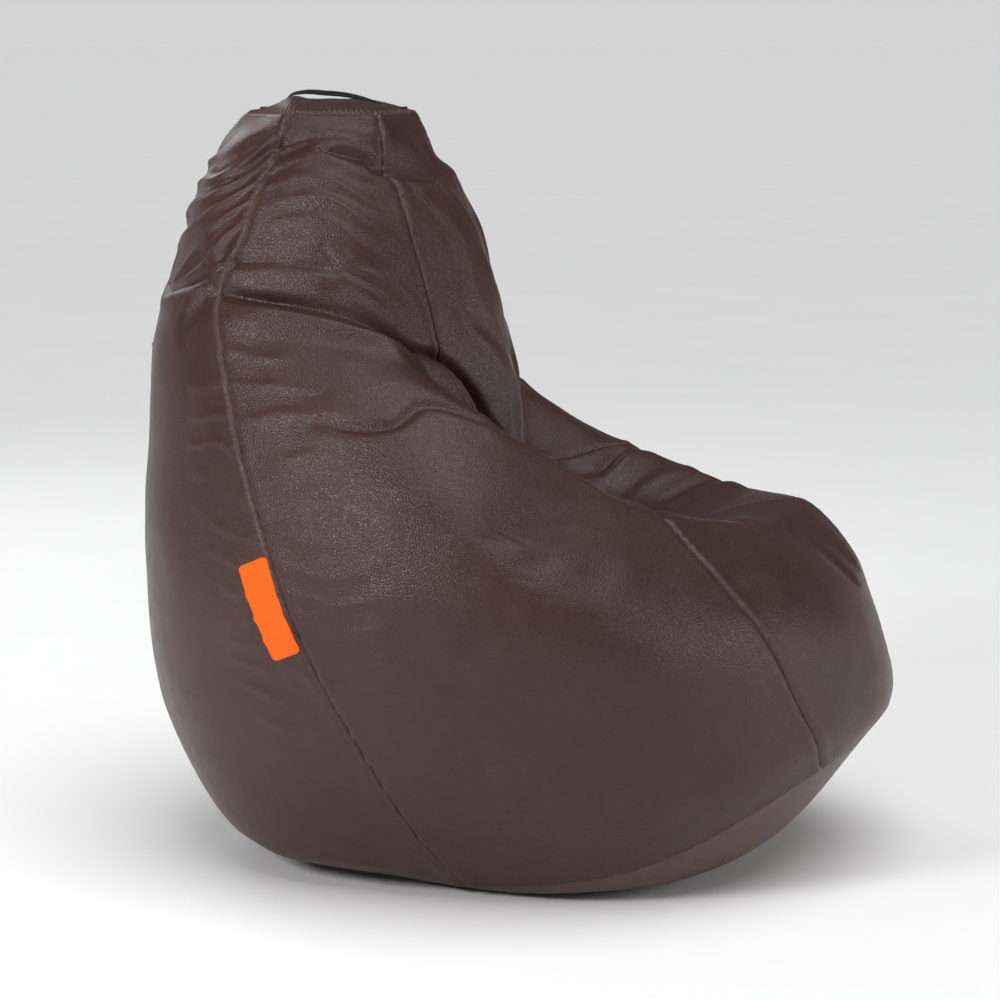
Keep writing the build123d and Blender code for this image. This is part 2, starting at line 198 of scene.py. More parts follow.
def bumps(points, size, seed):
    """Smooth noise from about -1 to 1 at each point; `size` is its grain in metres."""
    places = points.reshape(-1, 3) / size + seed * 7.31
    values = [noise.noise(place) for place in places.tolist()]
    return np.array(values).reshape(points.shape[:-1]) * 1.6


def crest(phase, sharpness):
    """A wave between -1 and 1 with narrow crests and broad hollows."""
    return 2 * (0.5 + 0.5 * np.cos(2 * np.pi * phase)) ** sharpness - 1


print("a sharp wave goes from", crest(0.0, 2.0), "to", crest(0.5, 2.0))

# %% [markdown]
# A drawn fold is a valley along a line, with a lip on its lower side. The lip also moves
# sideways over the valley, because on the real cover one layer laps over the other. A push
# along the normal alone would only make a ditch.


# %% One drawn fold
def on_bag(angle, level):
    """The point of the unfolded bag at an angle and a level."""
    return skin(GORE_RINGS, np.array([level]), np.array([angle / 30 % 12]))[0, 0]


def fold(grid, outward, route, depth, width, lip, lip_width):
    """A drawn fold as a movement of every grid point, in metres.

    The route is (angle, level) stops. The lip rises on the side of the lower levels and
    leans over the valley.
    """
    stops = np.array([on_bag(*stop) for stop in route])
    line = curve_at(stops, np.linspace(0, len(stops) - 1, 30 * (len(stops) - 1) + 1))
    steps = np.gradient(line, axis=0)
    reach = 4 * max(width, lip_width)
    inside = ((grid > line.min(0) - reach) & (grid < line.max(0) + reach)).all(-1)
    points, out = grid[inside], outward[inside]
    gaps = np.linalg.norm(points[:, None] - line[None], axis=-1)
    nearest = gaps.argmin(1)
    down = np.cross(steps[nearest], out)
    down /= np.linalg.norm(down, axis=-1, keepdims=True) + 1e-12
    signed = ((points - line[nearest]) * down).sum(-1)
    off_line = np.sqrt(np.maximum(gaps.min(1) ** 2 - signed**2, 0))
    along = nearest / (len(line) - 1)
    taper = np.clip(np.minimum(along, 1 - along) * 6, 0, 1) ** 0.7
    taper = taper * np.exp(-((off_line / width) ** 2))
    valley = depth * np.exp(-((signed / width) ** 2))
    rise = lip * np.exp(-(((signed - lip_width) / lip_width) ** 2))
    lean = 0.55 * rise * np.exp(-(((signed - 0.6 * lip_width) / lip_width) ** 2))
    moved = np.zeros(grid.shape)
    moved[inside] = out * ((rise - valley) * taper)[:, None] - down * (lean * taper)[:, None]
    return moved


print("front of the waist", [round(float(c), 3) for c in on_bag(0, 7)])

# %% [markdown]
# The deepest fold is the waist, where the lip of each arm laps over the side of the neck.
# A smaller roll lies just above it, and one fold runs up the arm to a sharp tip.

# %% The folds drawn one by one
DEEP_FOLDS = [
    # (angle, level) stops from the back to the front, then depth, width, lip, lip width in mm
    ([(126, 6.12), (114, 6.03), (103, 6.05), (94, 6.1), (84, 6.43), (73, 6.86), (64, 7.15),
      (54, 7.3), (44, 7.35), (34, 7.45)], 17, 8.0, 8, 20),
    ([(130, 6.95), (120, 6.9), (109, 7.02), (98, 7.06), (90, 7.12)], 6, 6, 3, 12),
    ([(178, 6.35), (163, 6.0), (150, 6.1), (137, 6.25), (126, 6.5)], 7, 6.5, 4, 14),
    ([(107, 4.5), (101, 4.5), (95, 4.6), (89, 4.84), (80, 5.0), (70, 5.2)], 7, 8, 3, 14),
    ([(56, 7.4), (52, 6.9), (46, 6.4), (40, 6.0)], 8, 10, 3, 18),
    ([(58, 4.7), (56, 5.2), (50, 5.8)], 6, 10, 4, 16),
    ([(36, 4.75), (34, 5.3), (30, 5.8)], 5, 12, 3, 18),
]


def drawn_folds(grid, outward):
    """All drawn folds on both halves of the bag, added up."""
    total = np.zeros(grid.shape)
    for route, *sizes in DEEP_FOLDS:
        # The mirrored route runs the other way, which keeps its lip on the low side.
        mirrored = [(360 - angle, level) for angle, level in route][::-1]
        for stops in (route, mirrored):
            total += fold(grid, outward, stops, *[size * MM for size in sizes])
    return total


print(len(DEEP_FOLDS), "folds drawn on each half")

# %% [markdown]
# The small wrinkles are arcs round the side of the neck, slanting folds behind it, upright
# ones down the backrest, creases over the arms and short puckers at the rear side seams.
# One wave for each family is easier to tune than sculpting, and it comes out the same on
# every run.

# %% Families of small wrinkles
# For each family: metres from crest to crest, height in mm, and sharpness of the crests.
NECK_ARCS, NECK_SLANTS = (0.024, 1.5, 1.4), (0.021, 2.6, 2.2)
BACKREST_FOLDS, ARM_CREASES, SEAM_PUCKERS = (0.034, 2.6, 1.6), (0.075, 2.6, 2.0), (0.034, 1.9, 3.0)
ARC_AHEAD, ARC_UP = -0.225, 0.60  # the point that the arcs go round


def family(distance, bend, kind, zone):
    """One family of wrinkles: a bent wave over a distance, faded out by a zone."""
    spacing, height, sharpness = kind
    return height * crest(distance / spacing + bend, sharpness) * zone


def wrinkles(grid, levels, columns):
    """Small wrinkles and soft dents, as metres along the outward normal."""
    ahead, height = -grid[..., 1], grid[..., 2]
    level = levels[:, None]
    from_front = abs((columns * 30 + 180) % 360 - 180)[None, :]
    warp, drift = bumps(grid, 0.09, 1), bumps(grid, 0.21, 2)
    broken = 0.55 + 0.45 * bumps(grid, 0.05, 3)

    arc = np.hypot(ahead - ARC_AHEAD, height - ARC_UP)
    neck_side = fade(from_front, 68, 116, 14) * fade(level, 7.3, 9.6, 0.5)
    total = family(arc, 0.55 * warp, NECK_ARCS, neck_side)
    neck_back = fade(from_front, 128, 180, 10) * fade(level, 6.7, 9.2, 0.6)
    total += family(-0.58 * ahead + 0.82 * height, 0.9 * warp, NECK_SLANTS, neck_back)
    backrest = fade(from_front, 0, 46, 12) * fade(level, 7.2, 9.3, 0.6)
    total += family(abs(grid[..., 0]), 0.9 * drift + 0.5 * warp, BACKREST_FOLDS, backrest)
    arm_top = fade(from_front, 18, 74, 10) * fade(level, 4.9, 6.2, 0.5)
    total += family(ahead, 0.8 * drift + 0.35 * warp, ARM_CREASES, arm_top)
    seam_zone = fade(from_front, 111, 131, 9) * fade(level, 0.8, 5.2, 0.7)
    total += family(height, 0.4 * drift + 0.4 * warp, SEAM_PUCKERS, seam_zone)
    dents = 2.2 * bumps(grid, 0.16, 5) + 0.8 * bumps(grid, 0.055, 6)
    return (total * broken + dents) * fade(level, 0.5, 9.6, 0.5) * MM


outward = normals(plain)
moved = drawn_folds(plain, outward)
moved += outward * wrinkles(plain, LEVELS, COLUMNS)[..., None]
shaped = plain + moved
print("furthest movement", round(float(np.linalg.norm(moved, axis=-1).max()) / MM, 1), "mm")

# %% [markdown]
# ## Let the cloth settle
# The drawn shape is only a good guess. Blender's cloth then does what the beads do: it
# presses on a closed copy of the bag from inside while the seams stay short and the panels
# between them have a little cloth to spare. Panels crown, seams pull in and small creases
# run out from them. Only the movement is kept, smoothly spread over the fine grid and
# limited, so that the chair keeps its size.

# %% The grid that settles
SIM_STEPS, SIM_PER_RING = [6, 12, 22, 18, 25, 20, 20, 23, 18, 15], 16
SIM_LEVELS = stepped(SIM_STEPS)
SIM_COLUMNS = np.arange(12 * SIM_PER_RING) / SIM_PER_RING
SPARE_CLOTH, PRESSURE, FRAMES, MOST_MOVED = 0.035, 4.0, 20, 11 * MM


def settling_bag(start, below):
    """A closed bag as a mesh object: the base rows, the gore rows and a fan at each end."""
    grid = np.concatenate([below, start])
    rows, width = grid.shape[:2]
    points = np.concatenate([grid.reshape(-1, 3), [grid[0].mean(0)], [grid[-1].mean(0)]])
    j = np.arange(width)
    k, top, foot = (j + 1) % width, (rows - 1) * width, rows * width
    i = np.arange(rows - 1)[:, None] * width
    faces = np.stack([i + j, i + width + j, i + width + k, i + k], -1).reshape(-1, 4).tolist()
    faces += [[foot, a, b] for a, b in zip(j.tolist(), k.tolist())]
    faces += [[foot + 1, top + b, top + a] for a, b in zip(j.tolist(), k.tolist())]
    mesh = bpy.data.meshes.new("settling_bag")
    mesh.from_pydata(points.tolist(), [], faces)
    bag = bpy.data.objects.new("settling_bag", mesh)
    bpy.context.collection.objects.link(bag)
    held = bag.vertex_groups.new(name="held")
    held.add([*range(len(below) * width), *range(top, len(points))], 1.0, "REPLACE")
    return bag, points


print("settling grid", len(SIM_LEVELS), "rows,", len(SIM_COLUMNS), "columns")

# %% [markdown]
# The middle of each gore gets three and a half percent of spare cloth, and its edges get
# none, because a seam is two layers and a thread that doesn't stretch. That difference is
# what makes a sewn panel crown. The base and the rim of the cap are held still.

# %% Spare cloth and cloth settings
SPARE_STEPS = 8


def share_of_spare(bag, first, levels, columns):
    """Vertex weights for the spare cloth, in steps, on the rows after the held ones."""
    spare = bag.vertex_groups.new(name="spare")
    to_seam = abs((columns + 1) % 2 - 1)
    share = fade(to_seam[None, :] + 0 * levels[:, None], 0.16, 2, 0.12)
    share = share * fade(levels, 0.6, 9.6, 0.4)[:, None]
    for value in range(1, SPARE_STEPS + 1):
        chosen = np.flatnonzero(np.round(share.ravel() * SPARE_STEPS) == value) + first
        spare.add(chosen.tolist(), value / SPARE_STEPS, "REPLACE")


def add_cloth(bag):
    """The cloth modifier: stiff against stretching, soft against bending, blown up a little."""
    cloth = bag.modifiers.new("cloth", "CLOTH")
    settings = cloth.settings
    settings.quality, settings.mass = 5, 0.35
    settings.tension_stiffness = settings.compression_stiffness = 30
    settings.shear_stiffness, settings.bending_stiffness = 12, 3.0
    settings.use_pressure, settings.uniform_pressure_force = True, PRESSURE
    settings.vertex_group_mass, settings.pin_stiffness = "held", 1.0
    settings.vertex_group_shrink = "spare"
    settings.shrink_min, settings.shrink_max = 0.0, -SPARE_CLOTH
    settings.effector_weights.gravity = 0
    cloth.collision_settings.use_collision = False
    cloth.point_cache.frame_start, cloth.point_cache.frame_end = 1, FRAMES


print("spare cloth", SPARE_CLOTH, "pressure", PRESSURE)

# %% [markdown]
# The cloth runs for twenty frames, and the difference between the last frame and the start
# is kept as a field that any other grid can read.


# %% Run the cloth
def settled_movement():
    """How far the cloth moves every point of the settling grid."""
    levels, columns = SIM_LEVELS, SIM_COLUMNS
    start = skin(GORE_RINGS, levels, columns)
    out = normals(start)
    start = start + drawn_folds(start, out) + out * wrinkles(start, levels, columns)[..., None]
    below = skin(BASE_RINGS, stepped([3, 6]), columns)[:-1]
    bag, points = settling_bag(start, below)
    first, last = len(below) * len(columns), (len(below) + len(start)) * len(columns)
    share_of_spare(bag, first, levels, columns)
    add_cloth(bag)
    for number in range(1, FRAMES + 1):
        bpy.context.scene.frame_set(number)
    graph = bpy.context.evaluated_depsgraph_get()
    after = np.zeros(len(points) * 3)
    bag.evaluated_get(graph).data.vertices.foreach_get("co", after)
    bpy.data.objects.remove(bag)
    bpy.context.scene.frame_set(1)
    change = (after.reshape(-1, 3) - points)[first:last].reshape(start.shape)
    size = np.linalg.norm(change, axis=-1, keepdims=True)
    print("cloth moved", round(float(size.mean()) / MM, 2), "mm on average")
    change *= MOST_MOVED / np.maximum(MOST_MOVED, size)
    return change * fade(levels, 0.5, 9.1, 0.6)[:, None, None]


def between(field, where, closed=False):
    """A field read smoothly between its rows."""
    count, low = len(field), np.floor(where).astype(int)
    t = (where - low).reshape(-1, *[1] * (field.ndim - 1))
    rows = [low + k for k in (-1, 0, 1, 2)]
    a, b, c, d = (field[k % count if closed else np.clip(k, 0, count - 1)] for k in rows)
    return b + 0.5 * t * (c - a + t * (2 * a - 5 * b + 4 * c - d + t * (3 * (b - c) + d - a)))


def read_settled(levels, columns):
    """The cloth's movement at other levels and columns."""
    rows = between(settled, np.interp(levels, SIM_LEVELS, np.arange(len(SIM_LEVELS))))
    return between(rows.swapaxes(0, 1), columns * SIM_PER_RING, closed=True).swapaxes(0, 1)


settled = np.zeros((len(SIM_LEVELS), len(SIM_COLUMNS), 3))
settled = settled_movement()
shaped = shaped + read_settled(LEVELS, COLUMNS)
print("settled" if settled.any() else "cloth skipped for a quick look")

# %% [markdown]
# ## Seams
# Two gores are sewn face to face and turned out, so a seam is a narrow groove with the two
# edges rolling into it. The thread is a little shorter than the leatherette, which draws up
# small puckers on both sides. The groove is worked out from the true distance to the seam.


# %% Roll the edges into the seams
def gore_columns(grid, gore):
    """The columns of one gore, with the first and last on its two seams."""
    return np.take(grid, range(gore * GORE_STEP, (gore + 1) * GORE_STEP + 1), 1, mode="wrap")


def running(line, axis):
    """Distance along a grid's axis from its first point."""
    steps = np.linalg.norm(np.diff(line, axis=axis), axis=-1)
    pad = [(0, 0), (0, 0)]
    pad[axis] = (1, 0)
    return np.pad(np.cumsum(steps, axis=axis), pad)


GROOVE, GROOVE_WIDTH = 2.6 * MM, 2.2 * MM
PUFF, PUFF_AT = 1.3 * MM, 9 * MM
PUCKER, PUCKER_SPACING, PUCKER_REACH = 0.9 * MM, 13 * MM, 9 * MM


def seam_relief(gore, gap, along, seed):
    """Height beside a seam: a groove, a soft roll next to it and small puckers across."""
    groove = -GROOVE * np.exp(-((gap / GROOVE_WIDTH) ** 1.3))
    roll = PUFF * np.exp(-(((gap - PUFF_AT) / PUFF_AT) ** 2))
    strength = 0.5 + 0.5 * bumps(gore, 0.07, seed)
    pucker = crest(along / PUCKER_SPACING + 1.2 * bumps(gore, 0.05, seed + 1), 2.0)
    return groove + roll + PUCKER * pucker * strength * np.exp(-gap / PUCKER_REACH)


def sewn_gore(gore_index):
    """Points, normals and seam distances of one gore with its seams rolled in."""
    points = gore_columns(shaped, gore_index)
    out = gore_columns(normals(shaped), gore_index)
    across = running(points, 1)
    gap = np.minimum(across, across[:, -1:] - across)
    along = running(points, 0)
    lift = seam_relief(points, gap, along, 11)
    top = along[-1:] - along
    lift += -GROOVE * np.exp(-((top / GROOVE_WIDTH) ** 1.3)) * (gap > 0)
    return points + out * lift[..., None], out, gap


GORES = ["front_right_panel", "right_side_panel", "back_right_panel",
         "back_left_panel", "left_side_panel", "front_left_panel"]
sewn = [sewn_gore(index) for index in range(6)]
print("widest gore", round(float(max(g[2].max() for g in sewn)) * 2 / MM), "mm")

# %% [markdown]
# Each piece of the cover is a thin closed sheet. Building it from two grids, outside and
# inside, with a rim between them, keeps the mesh in clean quads from seam to seam.


# %% Mesh tools
def new_mesh(name, points, faces, body="bag", replaces=(), slot=None):
    """A smooth mesh object that rides on a body and stands for some CAD nodes."""
    mesh = bpy.data.meshes.new(name)
    mesh.from_pydata(np.asarray(points).reshape(-1, 3).tolist(), [], faces)
    mesh.polygons.foreach_set("use_smooth", [True] * len(mesh.polygons))
    mesh.update()
    piece = bpy.data.objects.new(name, mesh)
    bpy.context.collection.objects.link(piece)
    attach(piece, body)
    if replaces:
        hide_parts(*replaces)
    return piece


def grid_faces(rows, columns, start=0, closed=False, flip=False):
    """Quads over a grid of points; `closed` joins the last column to the first."""
    i = np.arange(rows - 1)[:, None]
    j = np.arange(columns if closed else columns - 1)[None, :]
    k = (j + 1) % columns
    quads = np.stack([i * columns + j, i * columns + k, (i + 1) * columns + k,
                      (i + 1) * columns + j], -1).reshape(-1, 4) + start
    return (quads[:, ::-1] if flip else quads).tolist()


def slab_faces(rows, columns, flip=False):
    """Faces of a sheet made of an outer grid, then an inner grid, with a rim round it."""
    size = rows * columns
    faces = grid_faces(rows, columns, 0, flip=flip) + grid_faces(rows, columns, size, flip=not flip)
    first, last = np.arange(columns), np.arange(columns) + (rows - 1) * columns
    left, right = np.arange(rows) * columns, np.arange(rows) * columns + columns - 1
    for line, turn in ((first, True), (last, False), (left, False), (right, True)):
        a, b = line[:-1], line[1:]
        rim = np.stack([a, b, b + size, a + size], -1)
        faces += (rim[:, ::-1] if turn != flip else rim).tolist()
    return faces


def add_measure(piece, name, values):
    """A number on every vertex, which a material can read."""
    layer = piece.data.attributes.new(name, "FLOAT", "POINT")
    layer.data.foreach_set("value", np.asarray(values, np.float32).ravel())


THICK = 1.8 * MM
print("a sheet of 4 by 3 points has", len(slab_faces(4, 3)), "faces")


# %% [markdown]
# ## The six gores
# The zip lies in the lower back seam, under a slit whose two edges are folded back. The
# edges of the two back gores are pushed apart there, and nowhere else.

# %% Cut and place the gores
ZIP_LOW, ZIP_HIGH = np.array([0, 431.5, 345]) * MM, np.array([0, 417.6, 612]) * MM
ZIP_RISE = ZIP_HIGH - ZIP_LOW
ZIP_LENGTH = float(np.linalg.norm(ZIP_RISE))
ZIP_UP = ZIP_RISE / ZIP_LENGTH
ZIP_OUT = np.cross(ZIP_UP, (1, 0, 0))
SLIT, SLIT_REACH = 4.6 * MM, 45 * MM
SEAM_PULL = 0.12  # share of the first columns' width that each gore stops short of its seam


def open_slit(points):
    """Push the edge of a back gore aside along the zip."""
    along = ((points - ZIP_LOW) @ ZIP_UP)
    zone = fade(along, -2 * MM, ZIP_LENGTH + 2 * MM, 9 * MM)
    aside = abs(points[..., 0])
    behind = points[..., 1] > 0.3
    pushed = SLIT * zone * np.clip(1 - aside / SLIT_REACH, 0, 1) * behind
    sign = np.sign(points[:, GORE_STEP // 2 : GORE_STEP // 2 + 1, 0])
    points[..., 0] += sign * pushed
    return points


gore_pieces = {}
for index, name in enumerate(GORES):
    points, out, gap = sewn[index]
    if name.startswith("back"):
        points = open_slit(points)
    points[:, 0] += (points[:, 3] - points[:, 0]) * SEAM_PULL
    points[:, -1] += (points[:, -4] - points[:, -1]) * SEAM_PULL
    inner = points - out * THICK
    rows, columns = gap.shape
    piece = new_mesh(name.replace("panel", "gore"), [points, inner],
                     slab_faces(rows, columns, flip=True), replaces=[name], slot="leatherette")
    add_measure(piece, "seam_gap", [gap, gap])
    gore_pieces[name] = piece
print("gores", len(gore_pieces), "with", len(piece.data.polygons), "faces each")

# %% [markdown]
# ## Base and cap
# The base is one round panel that the beads press flat on the floor. The cap is a hexagon,
# sewn to the six gores, and the beads below it push it up into a low crown on each side of
# the handle. Both are grown outwards from their middle, one ring of points after another.


# %% Sheets grown from a centre
def disc_faces(rings, columns, start=0, flip=False):
    """Quads between rings of points, and a fan of triangles round the centre point."""
    faces = grid_faces(rings, columns, start + 1, closed=True, flip=flip)
    j = np.arange(columns)
    fan = np.stack([np.full(columns, start), start + 1 + (j + 1) % columns, start + 1 + j], -1)
    return faces + (fan[:, ::-1] if flip else fan).tolist()


def disc_sheet(name, centre, rings, thickness, **words):
    """A closed sheet: rings of points round a centre, thickened along -z or inwards."""
    rings = np.asarray(rings)
    count, columns = rings.shape[:2]
    size = 1 + count * columns
    lower_centre, lower = thickness(centre[None]), thickness(rings)
    points = [centre[None], rings.reshape(-1, 3), lower_centre, lower.reshape(-1, 3)]
    faces = disc_faces(count, columns) + disc_faces(count, columns, size, flip=True)
    j = np.arange(columns) + 1 + (count - 1) * columns
    k = (np.arange(columns) + 1) % columns + 1 + (count - 1) * columns
    faces += np.stack([j, k, k + size, j + size], -1).tolist()
    return new_mesh(name, np.concatenate(points), faces, **words)


print("a disc of 2 rings of 6 points has", len(disc_faces(2, 6)), "faces")

# %% [markdown]
# The base starts at its seam with the gores, high in front where the seat overhangs, and
# runs in to the ring where it meets the floor. Inside that ring it is flat.

# %% Base panel
base_rows = skin(BASE_RINGS, stepped([14, 26]), COLUMNS)
base_out = normals(base_rows)
seam_near = running(base_rows[::-1], 0)[::-1]
base_lift = -GROOVE * np.exp(-((seam_near / GROOVE_WIDTH) ** 1.3))
rim_pucker = crest(COLUMNS * 9 + bumps(base_rows, 0.05, 21), 2.0)
base_lift += 0.9 * MM * rim_pucker * np.exp(-seam_near / 0.012)
off_floor = fade(stepped([14, 26])[:, None], 0.4, 1.7, 0.3)
base_lift += 1.6 * MM * bumps(base_rows, 0.11, 22) * off_floor
base_rows = base_rows + base_out * base_lift[..., None]
base_rows[..., 2] = np.maximum(base_rows[..., 2], 0)
middle_point = np.array([0, -0.01, 0])
inside_rings = [middle_point + (base_rows[0] - middle_point) * share
                for share in (0.25, 0.5, 0.75, 0.93)]
base_rings = np.concatenate([inside_rings, base_rows])


BASE_THICK = 2.2 * MM


def inwards(points):
    """The inner side of the base sheet."""
    if len(points) == 1:
        return points + (0, 0, BASE_THICK)
    on_floor = points[..., 2:] < 1 * MM
    return points - np.where(on_floor, (0, 0, -1), normals(points)) * BASE_THICK


base_panel = disc_sheet("base_disc", middle_point, base_rings, inwards,
                        replaces=["base_panel"], slot="leatherette")
print("base panel faces", len(base_panel.data.polygons))

# %% [markdown]
# The cap is higher on both sides of the handle than under it, because the webbing holds it
# down in the middle and the beads push up everywhere else. Its rings stay hexagons from the
# seam to the centre, and they lie closer together near the seam, where the puckers are.

# %% Top cap
CAP_Z, CAP_MIDDLE, CAP_SHARE = 880 * MM, 204 * MM, 0.997
CROWN, UNDER_STRAP, REAR_ROLL, ROLL_AT = 15 * MM, 17 * MM, 7 * MM, 252 * MM
cap_edge = full_ring(RINGS["cap seam"], COLUMNS)
cap_middle = np.array([0, CAP_MIDDLE, CAP_Z])
shares = 1 - np.linspace(0, 1, 46)[::-1][1:] ** 1.6
cap_rings = cap_middle + (cap_edge - cap_middle)[None] * shares[:, None, None] * CAP_SHARE
from_edge = running(cap_rings[::-1], 0)[::-1]
under_strap = np.exp(-((cap_rings[..., 0] / UNDER_STRAP) ** 4))
height = CROWN * (1 - shares[:, None] ** 2.4) * (1 - 0.85 * under_strap)
cap_pucker = crest(COLUMNS * 8 + bumps(cap_rings, 0.04, 31), 1.5)
height += 1.2 * MM * cap_pucker * np.exp(-from_edge / 0.009)
height += 1.6 * MM * bumps(cap_rings, 0.035, 32) * (1 - shares[:, None] ** 4) * (1 - under_strap)
# The rear of the cap rolls up where the handle's rear end pulls on it.
rear_roll = np.exp(-(((cap_rings[..., 1] - ROLL_AT) / (15 * MM)) ** 2))
height += REAR_ROLL * rear_roll * (1 - shares[:, None] ** 6) * (1 - under_strap)
height -= GROOVE * np.exp(-((from_edge / GROOVE_WIDTH) ** 1.3))
cap_rings[..., 2] += height + 0.6 * MM
cap_top = cap_rings[0].mean(0)
top_cap = disc_sheet("cap_hexagon", cap_top, cap_rings, lambda points: points - (0, 0, THICK),
                     replaces=["top_cap"], slot="leatherette")
add_measure(top_cap, "seam_gap", np.concatenate([[0.1], from_edge.ravel()] * 2))
print("cap crown at", round(float(cap_rings[..., 2].max()) / MM, 1), "mm")

# %% [markdown]
# ## Finishes
# Leatherette is a vinyl skin with a pressed pebble grain on a knitted back. The grain cells
# are about two millimetres across, so a cell pattern gives the height, and slower noise
# varies the gloss and the colour. Next to a seam the skin is stretched over the allowance,
# and there it is a little lighter.


# %% Node helpers
def material(name):
    """A new material, with its nodes, links and principled shader."""
    made = bpy.data.materials.new(name)
    made.use_nodes = True
    nodes, links = made.node_tree.nodes, made.node_tree.links
    return made, nodes, links, nodes["Principled BSDF"]


def add_node(nodes, kind, **settings):
    """A node with settings; a setting that isn't an attribute is an input socket."""
    made = nodes.new(kind)
    for key, value in settings.items():
        if hasattr(made, key):
            setattr(made, key, value)
        else:
            made.inputs[key.replace("_", " ")].default_value = value
    return made


def ramp(nodes, links, source, stops):
    """A colour ramp from (place, colour) stops."""
    made = nodes.new("ShaderNodeValToRGB")
    links.new(source, made.inputs["Fac"])
    while len(made.color_ramp.elements) < len(stops):
        made.color_ramp.elements.new(1.0)
    for element, (place, colour) in zip(made.color_ramp.elements, stops):
        element.position, element.color = place, (*colour, 1)
    return made.outputs["Color"]


def spread(nodes, links, source, low, high, to_low, to_high):
    """A value moved from one range to another."""
    made = add_node(nodes, "ShaderNodeMapRange", From_Min=low, From_Max=high,
                    To_Min=to_low, To_Max=to_high)
    links.new(source, made.inputs["Value"])
    return made.outputs["Result"]


def blend_of(nodes, links, kind, a, b):
    """One maths node on two values, each a socket or a number."""
    made = nodes.new("ShaderNodeMath")
    made.operation = kind
    for socket, value in zip(made.inputs, (a, b)):
        if isinstance(value, (int, float)):
            socket.default_value = value
        else:
            links.new(value, socket)
    return made.outputs[0]


print("helpers for colour and maths")

# %% [markdown]
# Every pattern is read in object coordinates, in metres, so that grain and weave keep their
# real size on every piece and need no unwrapping.


# %% Texture and bump helpers
def placed(nodes, links, scale=(1, 1, 1), turn=(0, 0, 0)):
    """Object coordinates in metres, turned and scaled."""
    where = nodes.new("ShaderNodeTexCoord")
    mapping = add_node(nodes, "ShaderNodeMapping", Scale=scale, Rotation=turn)
    links.new(where.outputs["Object"], mapping.inputs["Vector"])
    return mapping.outputs["Vector"]


def texture(nodes, links, kind, where, output, **settings):
    """The output of one texture node."""
    made = add_node(nodes, kind, **settings)
    links.new(where, made.inputs["Vector"])
    return made.outputs[output]


def bump(nodes, links, shader, height, distance, strength=1.0, under=None):
    """Bump from a height socket, into the shader, on top of another bump."""
    made = add_node(nodes, "ShaderNodeBump", Strength=strength, Distance=distance)
    links.new(height, made.inputs["Height"])
    if under:
        links.new(under, made.inputs["Normal"])
    links.new(made.outputs["Normal"], shader.inputs["Normal"])
    return made.outputs["Normal"]


print("helpers for textures and bump")

# %% [markdown]
# The vinyl is brown all through, so worn places don't show another colour, but it pales a
# little where it is stretched. Three sizes of bump lie on top of each other: soft creases,
# the pressed pebbles, and a fine roughness that breaks up each highlight.


# %% Leatherette
def leatherette():
    made, nodes, links, shader = material("brown_leatherette")
    grain_place = placed(nodes, links, scale=(1, 0.82, 1), turn=(0.5, 0.3, 0.6))
    cells = texture(nodes, links, "ShaderNodeTexVoronoi", grain_place, "Distance",
                    feature="DISTANCE_TO_EDGE", Scale=430, Randomness=0.95)
    pebble = spread(nodes, links, cells, 0.0, 0.32, 0.0, 1.0)
    fine = texture(nodes, links, "ShaderNodeTexNoise", grain_place, "Fac", Scale=1500, Detail=2)
    slow = texture(nodes, links, "ShaderNodeTexNoise", placed(nodes, links), "Fac",
                   Scale=7, Detail=3)
    patches = texture(nodes, links, "ShaderNodeTexNoise", placed(nodes, links), "Fac",
                      Scale=42, Detail=4, Roughness=0.6)
    tone = blend_of(nodes, links, "ADD", blend_of(nodes, links, "MULTIPLY", slow, 0.6),
                    blend_of(nodes, links, "MULTIPLY", patches, 0.4))
    skin_colour = ramp(nodes, links, tone, [(0.30, (0.035, 0.0125, 0.0090)),
                                            (0.55, (0.045, 0.017, 0.0125)),
                                            (0.75, (0.055, 0.0225, 0.017))])
    seam = nodes.new("ShaderNodeAttribute")
    seam.attribute_name = "seam_gap"
    worn = spread(nodes, links, seam.outputs["Fac"], 0.0, 0.007, 1.0, 0.0)
    worn = blend_of(nodes, links, "MULTIPLY", worn, patches)
    lighter = nodes.new("ShaderNodeMix")
    lighter.data_type = "RGBA"
    links.new(worn, lighter.inputs["Factor"])
    links.new(skin_colour, lighter.inputs["A"])
    lighter.inputs["B"].default_value = (0.115, 0.07, 0.06, 1)
    links.new(lighter.outputs["Result"], shader.inputs["Base Color"])
    gloss = blend_of(nodes, links, "ADD", spread(nodes, links, patches, 0.3, 0.7, 0.30, 0.38),
                     spread(nodes, links, pebble, 0.0, 1.0, 0.06, 0.0))
    links.new(gloss, shader.inputs["Roughness"])
    shader.inputs["Specular IOR Level"].default_value = 0.36
    creases = bump(nodes, links, shader, patches, 0.0008, 0.3)
    grain = bump(nodes, links, shader, pebble, 0.00028, 0.8, under=creases)
    bump(nodes, links, shader, fine, 0.00005, 0.3, under=grain)
    return made


LEATHERETTE = leatherette()
for piece in (*gore_pieces.values(), base_panel, top_cap):
    piece.data.materials.append(LEATHERETTE)
print("leatherette on", len(gore_pieces) + 2, "panels")

# %% [markdown]
# ## Beads and liner
# Inside the cover is a plain cloth sack, and the beads are in the sack, so that the cover
# can come off. Both follow the cover a little way in. Where the cover folds deeply they
# keep further in, because the fold pushes them aside.

